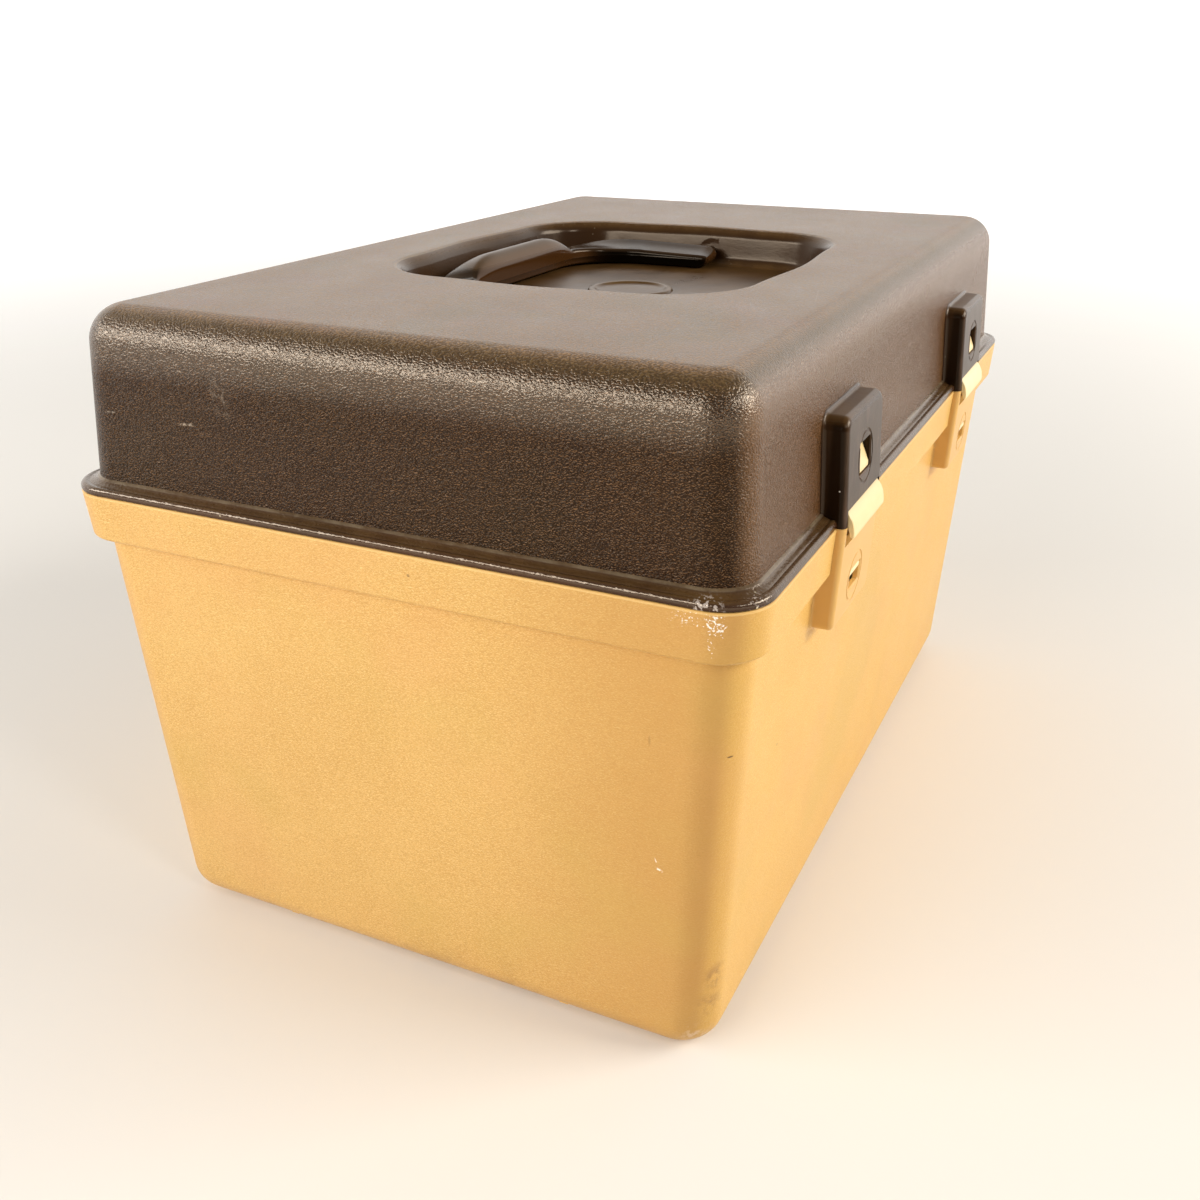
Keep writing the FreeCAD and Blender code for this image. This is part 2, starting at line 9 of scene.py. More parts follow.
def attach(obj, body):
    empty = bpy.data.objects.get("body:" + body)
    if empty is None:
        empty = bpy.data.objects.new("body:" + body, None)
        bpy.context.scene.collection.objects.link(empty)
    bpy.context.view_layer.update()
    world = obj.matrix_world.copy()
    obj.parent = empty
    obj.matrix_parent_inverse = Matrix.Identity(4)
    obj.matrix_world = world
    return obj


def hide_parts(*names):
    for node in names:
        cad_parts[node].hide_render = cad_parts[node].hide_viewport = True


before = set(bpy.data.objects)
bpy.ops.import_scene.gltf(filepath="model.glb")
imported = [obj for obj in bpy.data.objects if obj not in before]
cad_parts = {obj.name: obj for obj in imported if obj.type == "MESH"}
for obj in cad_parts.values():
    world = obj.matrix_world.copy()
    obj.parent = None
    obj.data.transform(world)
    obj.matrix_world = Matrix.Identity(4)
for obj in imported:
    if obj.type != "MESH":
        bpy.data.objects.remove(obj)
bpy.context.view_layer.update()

MM = 0.001
SCENE = bpy.context.scene

# ------------------------------------------------------------------ sizes, millimetres
HALF_L, HALF_W = 146.8, 95.25
Z_PART, Z_BAND, Z_TOP, WALL = 129.6, 116.9, 176.6, 2.2
BASE_L0, BASE_W0, BASE_L1, BASE_W1 = 136.9, 84.8, 142.6, 91.1
BASE_R, BASE_RB, BAND_TAPER, BAND_R = 11.0, 8.5, 0.75, 12.5
ZB = Z_PART + 0.05
LID_L0, LID_W0, LID_L1, LID_W1 = 142.8, 91.3, 140.1, 88.8
LID_R, LID_RT = 10.5, 9.0
REC_X, REC_L, REC_W, REC_DRAFT, REC_R, REC_FLOOR, REC_BOW = -1.5, 63.3, 55.5, 2.2, 27.0, 164.5, 2.2
PIV_Y, PIV_Z = -5.2, 168.5
ARM_OUT, ARM_IN, GRIP_OUT, GRIP_IN = 58.7, 47.2, 48.6, 35.4
LATCH_X, PAD_HW, PAD_SIDE, PAD_FRONT, PAD_Y, PAD_SLOPE = 71.5, 17.0, 2.0, 1.8, -97.4, 0.0512
PAD_BOT, PAD_SLOT_TOP, HOUS_SLOT, HOUS_TOP = 102.0, 124.3, 133.7, 156.6
WIN_HW, WIN_UP, WIN_LO = 5.0, (139.2, 147.4), (108.6, 114.2)
HINGE_Y, HINGE_Z, KNUCKLE_R, KNUCKLE_HW, EAR_END, EAR_GAP = 95.4, 129.6, 3.2, 7.0, 14.3, 0.3
NC, NSX, NSY = 14, 20, 14


def face_y(z):
    return PAD_Y + abs(z - Z_PART) * PAD_SLOPE


def lid_half(z):
    t = (z - ZB) / (Z_TOP - ZB)
    return LID_L0 + (LID_L1 - LID_L0) * t, LID_W0 + (LID_W1 - LID_W0) * t


def tub_half(z):
    t = z / (Z_BAND + 1.0)
    return BASE_L0 + (BASE_L1 + 0.05 - BASE_L0) * t, BASE_W0 + (BASE_W1 + 0.05 - BASE_W0) * t


def arc(n, a0, a1):
    return [math.radians(a0 + (a1 - a0) * i / n) for i in range(n + 1)]


# ------------------------------------------------------------------ mesh building
class Shape:
    """Points in millimetres, faces and a material number for each face."""

    def __init__(self):
        self.v, self.f, self.m = [], [], []

    def ring(self, pts):
        i = len(self.v)
        self.v.extend([tuple(p) for p in pts])
        return list(range(i, i + len(pts)))

    def bridge(self, a, b, mat=0):
        n = len(a)
        for k in range(n):
            self.f.append((a[k], a[(k + 1) % n], b[(k + 1) % n], b[k]))
            self.m.append(mat)

    def loft(self, rings, mats=0, caps=(None, None)):
        ids = [self.ring(r) for r in rings]
        for k in range(len(ids) - 1):
            self.bridge(ids[k], ids[k + 1], mats if isinstance(mats, int) else mats[k])
        first = mats if isinstance(mats, int) else mats[0]
        last = mats if isinstance(mats, int) else mats[-1]
        self.f.append(tuple(ids[0]))
        self.m.append(first if caps[0] is None else caps[0])
        self.f.append(tuple(ids[-1]))
        self.m.append(last if caps[1] is None else caps[1])
        return self

    def prism(self, points, lo, hi, axis=0, mat=0):
        """Closed outline of (a, b) points pushed along an axis: x takes (y, z), y takes (x, z)."""
        def put(w, p):
            return (w, p[0], p[1]) if axis == 0 else (p[0], w, p[1])
        return self.loft([[put(lo, p) for p in points], [put(hi, p) for p in points]], mat)

    def box(self, x0, x1, y0, y1, z0, z1, mat=0):
        return self.prism([(y0, z0), (y1, z0), (y1, z1), (y0, z1)], x0, x1, 0, mat)

    def rod(self, r, x0, x1, y, z, n=32, mat=0):
        return self.prism([(y + r * math.cos(2 * math.pi * i / n), z + r * math.sin(2 * math.pi * i / n))
                           for i in range(n)], x0, x1, 0, mat)

    def add(self, other):
        k = len(self.v)
        self.v.extend(other.v)
        self.f.extend([tuple(i + k for i in f) for f in other.f])
        self.m.extend(other.m)
        return self


def to_object(name, shape, mats=()):
    me = bpy.data.meshes.new(name)
    me.from_pydata([(x * MM, y * MM, z * MM) for x, y, z in shape.v], [], shape.f)
    me.polygons.foreach_set("material_index", shape.m)
    for m in mats:
        me.materials.append(m)
    bm = bmesh.new()
    bm.from_mesh(me)
    bmesh.ops.recalc_face_normals(bm, faces=bm.faces)
    bm.to_mesh(me)
    bm.free()
    me.update()
    ob = bpy.data.objects.new(name, me)
    SCENE.collection.objects.link(ob)
    return ob


def settle(ob):
    """Applies the object's modifiers."""
    bpy.context.view_layer.update()
    deps = bpy.context.evaluated_depsgraph_get()
    me = bpy.data.meshes.new_from_object(ob.evaluated_get(deps), preserve_all_data_layers=True, depsgraph=deps)
    ob.modifiers.clear()
    old = ob.data
    ob.data = me
    bpy.data.meshes.remove(old)


def combine(ob, shape, op, mats=()):
    tool = to_object("tool", shape, mats)
    m = ob.modifiers.new("combine", "BOOLEAN")
    m.operation = op
    m.object = tool
    m.solver = "EXACT"
    settle(ob)
    me = tool.data
    bpy.data.objects.remove(tool)
    bpy.data.meshes.remove(me)


def smooth(ob, angle=32.0, weighted=True):
    me = ob.data
    bm = bmesh.new()
    bm.from_mesh(me)
    bmesh.ops.remove_doubles(bm, verts=bm.verts, dist=2e-6)
    bmesh.ops.dissolve_degenerate(bm, edges=bm.edges, dist=1e-6)
    bm.to_mesh(me)
    bm.free()
    me.shade_smooth()
    me.set_sharp_from_angle(angle=math.radians(angle))
    if weighted:
        m = ob.modifiers.new("normals", "WEIGHTED_NORMAL")
        m.mode = "FACE_AREA"
        m.weight = 70
        m.keep_sharp = True


def rrect(hx, hy, r, z, cx=0.0, cy=0.0, bow=0.0):
    """Rounded rectangle with a fixed count of points; bow moves the middle of each side out."""
    r = max(r, 0.05)
    ax, ay = hx - r, hy - r
    out = []
    corners = ((1, 1), (-1, 1), (-1, -1), (1, -1))
    for q in range(4):
        sx, sy = corners[q]
        for a in arc(NC, 90 * q, 90 * q + 90):
            out.append((cx + sx * ax + r * math.cos(a), cy + sy * ay + r * math.sin(a), z))
        tx, ty = corners[(q + 1) % 4]
        a1 = math.radians(90 * q + 90)
        s = (cx + sx * ax + r * math.cos(a1), cy + sy * ay + r * math.sin(a1))
        e = (cx + tx * ax + r * math.cos(a1), cy + ty * ay + r * math.sin(a1))
        n = NSX if q in (0, 2) else NSY
        for j in range(1, n):
            t = j / n
            w = bow * math.sin(math.pi * t) ** 2
            out.append((s[0] + (e[0] - s[0]) * t + w * math.cos(a1), s[1] + (e[1] - s[1]) * t + w * math.sin(a1), z))
    return out


def circle_like(ring, r, z, cx, cy):
    """A circle with one point in the direction of each point of a ring."""
    out = []
    for x, y, _ in ring:
        a = math.atan2(y - cy, x - cx)
        out.append((cx + r * math.cos(a), cy + r * math.sin(a), z))
    return out


# ------------------------------------------------------------------ materials
def new_material(name):
    m = bpy.data.materials.new(name)
    m.use_nodes = True
    m.node_tree.nodes.clear()
    return m


class Tree:
    """Short way to write shader nodes."""

    def __init__(self, mat):
        self.t = mat.node_tree
        self.coord = self.t.nodes.new("ShaderNodeTexCoord")

    def node(self, kind, inputs=None, **props):
        n = self.t.nodes.new(kind)
        for k, v in props.items():
            setattr(n, k, v)
        for k, v in (inputs or {}).items():
            self.put(n.inputs[k], v)
        return n

    def put(self, socket, v):
        if isinstance(v, bpy.types.NodeSocket):
            self.t.links.new(v, socket)
        else:
            socket.default_value = v

    def math(self, op, a, b=0.0, c=0.0, clamp=False):
        n = self.t.nodes.new("ShaderNodeMath")
        n.operation = op
        n.use_clamp = clamp
        for s, v in zip(n.inputs, (a, b, c)):
            self.put(s, v)
        return n.outputs[0]

    def vec(self, op, a, b=(0, 0, 0), scale=1.0):
        n = self.t.nodes.new("ShaderNodeVectorMath")
        n.operation = op
        self.put(n.inputs[0], a)
        if op != "SCALE":
            self.put(n.inputs[1], b)
        else:
            self.put(n.inputs["Scale"], scale)
        return n.outputs["Value"] if op in ("LENGTH", "DISTANCE", "DOT_PRODUCT") else n.outputs["Vector"]

    @property
    def pos(self):
        return self.coord.outputs["Object"]

    @property
    def normal(self):
        return self.coord.outputs["Normal"]

    def split(self, v):
        n = self.node("ShaderNodeSeparateXYZ", {0: v})
        return n.outputs[0], n.outputs[1], n.outputs[2]

    def noise(self, scale, detail=2.0, rough=0.5, vector=None, distortion=0.0, colour=False):
        n = self.node("ShaderNodeTexNoise", {"Vector": vector if vector is not None else self.pos, "Scale": scale,
                                             "Detail": detail, "Roughness": rough, "Distortion": distortion})
        return n.outputs["Color" if colour else 0]

    def voronoi(self, scale, vector=None, feature="F1", smoothness=None, randomness=1.0, out="Distance"):
        n = self.node("ShaderNodeTexVoronoi", {"Vector": vector if vector is not None else self.pos, "Scale": scale,
                                               "Randomness": randomness}, feature=feature)
        if smoothness is not None:
            n.inputs["Smoothness"].default_value = smoothness
        return n.outputs[out]

    def ramp(self, v, lo, hi, to_lo=0.0, to_hi=1.0, kind="SMOOTHSTEP"):
        n = self.node("ShaderNodeMapRange", {"Value": v, "From Min": lo, "From Max": hi, "To Min": to_lo, "To Max": to_hi},
                      interpolation_type=kind)
        return n.outputs["Result"]

    def mix(self, fac, a, b, blend="MIX"):
        n = self.t.nodes.new("ShaderNodeMix")
        n.data_type = "RGBA"
        n.blend_type = blend
        self.put(n.inputs[0], fac)
        self.put(n.inputs[6], a)
        self.put(n.inputs[7], b)
        return n.outputs[2]

    def bump(self, height, distance, strength=1.0, normal=None):
        n = self.node("ShaderNodeBump", {"Height": height, "Distance": distance, "Strength": strength})
        if normal is not None:
            self.put(n.inputs["Normal"], normal)
        return n.outputs[0]

    def near(self, centre, radius, stretch=(1, 1, 1)):
        """1 at a point of the object, falling to 0 at a distance, millimetres."""
        d = self.vec("SUBTRACT", self.pos, tuple(c * MM for c in centre))
        if stretch != (1, 1, 1):
            d = self.vec("MULTIPLY", d, stretch)
        return self.ramp(self.vec("LENGTH", d), radius * MM, 0.0)

    def stroke(self, a, b, width):
        """1 along a straight scratch between two points, millimetres."""
        a, b = Vector(a) * MM, Vector(b) * MM
        d = b - a
        pa = self.vec("SUBTRACT", self.pos, tuple(a))
        t = self.math("DIVIDE", self.vec("DOT_PRODUCT", pa, tuple(d)), d.length_squared, clamp=True)
        near = self.node("ShaderNodeVectorMath", operation="SCALE")
        near.inputs[0].default_value = tuple(d)
        self.put(near.inputs["Scale"], t)
        off = self.vec("SUBTRACT", pa, near.outputs["Vector"])
        taper = self.math("SUBTRACT", 1.0, self.math("POWER", self.math("ABSOLUTE", self.math(
            "MULTIPLY_ADD", t, 2.0, -1.0)), 3.0))
        line = self.ramp(self.vec("LENGTH", off), width * MM, width * 0.25 * MM)
        return self.math("MULTIPLY", line, taper)

    def finish(self, colour, rough, normal=None, spec=0.5, coat=0.0, coat_rough=0.1, metallic=0.0, ior=1.5,
               sheen=0.0, tint=None):
        b = self.node("ShaderNodeBsdfPrincipled")
        self.put(b.inputs["Base Color"], colour)
        self.put(b.inputs["Roughness"], rough)
        self.put(b.inputs["Specular IOR Level"], spec)
        if tint is not None:
            b.inputs["Specular Tint"].default_value = tint
        b.inputs["Metallic"].default_value = metallic
        b.inputs["IOR"].default_value = ior
        b.inputs["Coat Weight"].default_value = coat
        b.inputs["Coat Roughness"].default_value = coat_rough
        b.inputs["Sheen Weight"].default_value = sheen
        if normal is not None:
            self.put(b.inputs["Normal"], normal)
        out = self.node("ShaderNodeOutputMaterial")
        self.t.links.new(b.outputs[0], out.inputs[0])
        return b


def rgb(r, g, b):
    """sRGB 0-255 to the linear colour the shader wants."""
    def f(c):
        c /= 255.0
        return c / 12.92 if c <= 0.04045 else ((c + 0.055) / 1.055) ** 2.4
    return (f(r), f(g), f(b), 1.0)


WARM = (1.0, 0.83, 0.64, 1.0)


def grain_height(t, pitch, stretch=(1.0, 0.72, 1.0)):
    """Moulded leather grain: worm-like ridges and pebbles about a pitch apart, 0 to 1,
    and a mask of the upper flanks of the ridges, where a highlight is painted."""
    q = t.vec("MULTIPLY", t.pos, stretch)
    warp = t.vec("SUBTRACT", t.noise(0.8 / (pitch * MM), 0.0, 0.5, q, colour=True), (0.5, 0.5, 0.5))
    p = t.vec("ADD", q, t.vec("SCALE", warp, scale=pitch * 0.9 * MM))
    worm = t.noise(1.15 / (pitch * MM), 0.0, 0.5, p)
    cell = t.voronoi(0.95 / (pitch * MM), p, "SMOOTH_F1", 0.5)
    fine = t.noise(1.66 / (pitch * MM), 0.0, 0.5, p)
    over = t.noise(1.66 / (pitch * MM), 0.0, 0.5, t.vec("ADD", p, (0.0, 0.0, 0.13 * pitch * MM)))
    flank = t.ramp(t.math("SUBTRACT", fine, over), 0.03, 0.12)
    h = t.math("MULTIPLY", t.ramp(worm, 0.30, 0.70), 0.62)
    h = t.math("MULTIPLY_ADD", t.ramp(cell, 0.66, 0.12), 0.34, h)
    return t.math("MULTIPLY_ADD", t.noise(3.0 / (pitch * MM), 0.0, 0.5, q), 0.10, h), flank


def sum_strokes(t, strokes):
    lines = None
    for a, b, w in strokes:
        s = t.stroke(a, b, w)
        lines = s if lines is None else t.math("MAXIMUM", lines, s)
    return lines


def make_grained_brown():
    m = new_material("brown_grain")
    t = Tree(m)
    h, flank = grain_height(t, GRAIN_LID)
    nx, ny, nz = t.split(t.normal)
    up = t.ramp(nz, 0.45, 0.995)
    base = t.mix(t.ramp(t.noise(26.0, 3.0, 0.55), 0.35, 0.68), BROWN_A, BROWN_B)
    base = t.mix(t.ramp(t.noise(11.0, 2.0, 0.5), 0.42, 0.62, 0.0, 0.6), base, BROWN_C)
    # painted shade in the valleys of the grain
    base = t.mix(t.ramp(h, 0.50, 0.22, 0.0, 0.55), base, rgb(26, 12, 5))
    # painted highlight on the upper flanks of the grain's ridges
    flank_highlight = t.math("MULTIPLY", flank, t.math("MULTIPLY_ADD", up, -0.24, 0.36))
    base = t.mix(flank_highlight, base, rgb(160, 118, 80))
    # painted warm light on the faces turned towards the front
    base = t.mix(t.ramp(ny, -0.60, -0.95, 0.0, 0.30), base, rgb(138, 92, 48))
    # thin dust on the top, with faint reddish and greenish patches in it
    dust_n = t.noise(230.0, 4.0, 0.65)
    crest = t.ramp(h, 0.40, 0.85)
    dust = t.math("MULTIPLY", up, t.math("MULTIPLY_ADD", t.ramp(dust_n, 0.28, 0.74), 0.14, DUST))
    dust = t.math("MULTIPLY", dust, t.math("MULTIPLY_ADD", crest, 0.75, 0.55))
    red = t.math("MULTIPLY", t.ramp(t.noise(52.0, 2.0, 0.55), 0.52, 0.70), 0.30)
    green = t.math("MULTIPLY", t.ramp(t.noise(38.0, 2.0, 0.5, t.vec("ADD", t.pos, (0.3, 0.1, 0.0))), 0.52, 0.70), 0.30)
    tint = t.mix(red, DUST_C, rgb(170, 122, 104))
    tint = t.mix(green, tint, rgb(142, 130, 92))
    tint = t.mix(t.ramp(nz, 0.99, 0.80), tint, rgb(124, 96, 52))
    dark = t.near((-75.6, 25.5, 176.6), 5.5, (1, 1.4, 1))
    dust = t.math("MULTIPLY", dust, t.math("MULTIPLY_ADD", t.math("MULTIPLY", dark, t.ramp(t.noise(300.0, 2.0), 0.35, 0.6)), -0.6, 1.0))
    base = t.mix(dust, base, tint)
    # lint on the top
    lint = t.math("MULTIPLY", t.ramp(t.voronoi(330.0), 0.10, 0.04), t.ramp(t.noise(140.0, 2.0), 0.60, 0.66))
    base = t.mix(t.math("MULTIPLY", lint, t.math("MULTIPLY_ADD", up, 0.4, 0.06)), base, rgb(214, 196, 170))
    # marks of use on the left end
    scuff = t.math("MAXIMUM", t.near((-141.1, 42.9, 158.8), 4.2, (1, 1.0, 0.62)),
                   t.math("MULTIPLY", t.near((-141.3, 41.2, 155.0), 3.0), 0.8))
    scuff = t.math("MULTIPLY", scuff, t.ramp(t.noise(520.0, 3.0), 0.38, 0.66))
    scuff = t.math("MULTIPLY", scuff, t.math("MULTIPLY_ADD", crest, 0.6, 0.4))
    lines = sum_strokes(t, SCRATCHES_BROWN)
    marks = t.math("MAXIMUM", t.math("MULTIPLY", scuff, 0.42),
                   t.math("MULTIPLY", lines, t.math("MULTIPLY_ADD", crest, 0.6, 0.12)))
    base = t.mix(marks, base, rgb(176, 158, 138))
    rough = t.math("MULTIPLY_ADD", t.noise(34.0, 3.0, 0.6), 0.12, 0.20)
    rough = t.math("MULTIPLY_ADD", dust, 0.30, rough)
    # hands keep the rolled edge polished, the walls stay duller
    x, y, z = t.split(t.pos)
    gloss = t.ramp(z, 0.1590, 0.1685, 0.20, 1.0)
    gloss = t.math("MAXIMUM", gloss, t.ramp(ny, -0.60, -0.95, 0.20, 0.50))
    gloss = t.math("MULTIPLY", gloss, t.ramp(nz, 0.93, 0.995, 1.0, 0.42))
    flat = t.math("MULTIPLY_ADD", up, -0.20, t.ramp(z, 0.1580, 0.1670, 1.0, 0.60))
    n1 = t.bump(t.noise(9.0, 1.0, 0.4), 0.0014, 1.0)
    n2 = t.bump(t.math("MULTIPLY", h, flat), GRAIN_LID_D, 1.0, n1)
    t.finish(base, rough, n2, spec=gloss, tint=WARM)
    return m


def make_smooth_brown():
    """Recess, latch housings and the inside: the same plastic without the grain."""
    m = new_material("brown_smooth")
    t = Tree(m)
    nx, ny, nz = t.split(t.normal)
    x, y, z = t.split(t.pos)
    up = t.ramp(nz, 0.35, 0.99)
    base = t.mix(t.ramp(t.noise(30.0, 3.0, 0.55), 0.35, 0.68), rgb(46, 27, 12), rgb(56, 35, 15))
    # painted shade: the sides of the latch housings darkened nearly to black
    housing_side_shade = t.math("MULTIPLY", t.ramp(t.math("ABSOLUTE", nx), 0.60, 0.95), t.ramp(y, -0.0915, -0.0930))
    base = t.mix(t.math("MULTIPLY", housing_side_shade, 0.75), base, rgb(22, 12, 5))
    dust = t.math("MULTIPLY", up, t.ramp(t.noise(120.0, 4.0, 0.65), 0.28, 0.75, 0.16, 0.30))
    base = t.mix(dust, base, rgb(136, 100, 54))
    speck = t.math("MULTIPLY", t.ramp(t.voronoi(520.0), 0.12, 0.05), t.ramp(t.noise(170.0, 2.0), 0.60, 0.66))
    base = t.mix(t.math("MULTIPLY", speck, 0.5), base, rgb(196, 178, 150))
    # painted yellowish glint round the boss in the recess
    ring = t.vec("LENGTH", t.vec("SUBTRACT", t.vec("MULTIPLY", t.pos, (1.0, 1.0, 0.0)), (-0.0003, -0.0012, 0.0)))
    ring = t.math("MULTIPLY", t.math("MULTIPLY", t.ramp(ring, 0.0090, 0.0120), t.ramp(ring, 0.0150, 0.0130)), t.ramp(z, 0.1640, 0.1644))
    ring = t.math("MULTIPLY", ring, t.ramp(z, 0.1670, 0.1662))
    ring = t.math("MULTIPLY", ring, t.ramp(t.noise(90.0, 2.0, 0.5), 0.35, 0.65, 0.04, 0.20))
    base = t.mix(ring, base, rgb(128, 102, 58))
    # a light fleck low on the side of the near housing, rubbed streaks on the housing faces
    fleck = t.near((-88.4, -95.2, 139.0), 0.35)
    base = t.mix(t.ramp(fleck, 0.1, 0.6), base, rgb(236, 226, 214))
    face = t.ramp(y, -0.0955, -0.0965)
    p = t.node("ShaderNodeCombineXYZ", {0: x, 1: y, 2: t.math("MULTIPLY", z, 0.25)}).outputs[0]
    streak = t.math("MULTIPLY", face, t.ramp(t.noise(420.0, 3.0, 0.6, p), 0.50, 0.72, 0.0, 0.22))
    base = t.mix(streak, base, rgb(128, 98, 84))
    rough = t.math("MULTIPLY_ADD", t.noise(42.0, 3.0, 0.6), 0.12, 0.15)
    rough = t.math("MULTIPLY_ADD", face, 0.10, rough)
    rough = t.math("MULTIPLY_ADD", dust, 0.45, rough)
    n = t.bump(t.noise(28.0, 2.0, 0.5), 0.00035, 1.0)
    n = t.bump(t.noise(800.0, 2.0, 0.6), 0.000022, 1.0, n)
    t.finish(base, rough, n, spec=t.math("MULTIPLY_ADD", housing_side_shade, -0.18, 0.30), tint=WARM)
    return m


def make_bead_brown():
    """Bead and ledge round the lid: finer, flatter grain with a rubbed crest."""
    m = new_material("brown_bead")
    t = Tree(m)
    h, flank = grain_height(t, 0.7)
    nx, ny, nz = t.split(t.normal)
    x, y, z = t.split(t.pos)
    up = t.ramp(nz, 0.55, 0.97)
    base = t.mix(t.ramp(t.noise(30.0, 3.0, 0.55), 0.35, 0.68), rgb(52, 29, 13), rgb(62, 36, 17))
    dust = t.math("MULTIPLY", up, t.ramp(t.noise(90.0, 4.0, 0.65), 0.28, 0.72, 0.10, 0.30))
    base = t.mix(dust, base, rgb(132, 102, 56))
    crest = t.ramp(h, 0.45, 0.85)
    # painted highlight: a pale line along the cove between ledge and wall
    cove_highlight = t.math("MULTIPLY", t.ramp(z, 0.13245, 0.1327), t.ramp(t.noise(130.0, 3.0, 0.6), 0.35, 0.65, 0.10, 0.40))
    base = t.mix(cove_highlight, base, rgb(150, 134, 108))
    # chipped and rubbed near the corner, a few flecks elsewhere
    chip = t.math("MAXIMUM", t.near((-146.2, -84.0, 130.4), 6.5, (1, 1, 1.6)), t.math("MULTIPLY", t.near((-140.0, -93.0, 131.4), 5.0), 0.7))
    chip = t.math("MULTIPLY", t.ramp(chip, 0.10, 0.8), t.ramp(t.noise(1100.0, 2.0, 0.6), 0.55, 0.62))
    base = t.mix(t.math("MULTIPLY", chip, 0.65), base, rgb(206, 192, 180))
    speck = t.math("MULTIPLY", t.ramp(t.voronoi(360.0), 0.13, 0.05), t.ramp(t.noise(120.0, 2.0), 0.60, 0.66))
    speck = t.math("MAXIMUM", speck, t.ramp(t.near((-142.9, 10.5, 131.9), 0.45), 0.1, 0.6))
    base = t.mix(t.math("MULTIPLY", speck, 0.85), base, rgb(226, 210, 176))
    rough = t.math("MULTIPLY_ADD", t.noise(60.0, 3.0, 0.6), 0.10, 0.14)
    rough = t.math("MULTIPLY_ADD", dust, 0.4, rough)
    n = t.bump(h, 0.00004, 1.0)
    t.finish(base, rough, n, spec=t.ramp(z, 0.1299, 0.1309, 0.25, 0.9), tint=WARM)
    return m


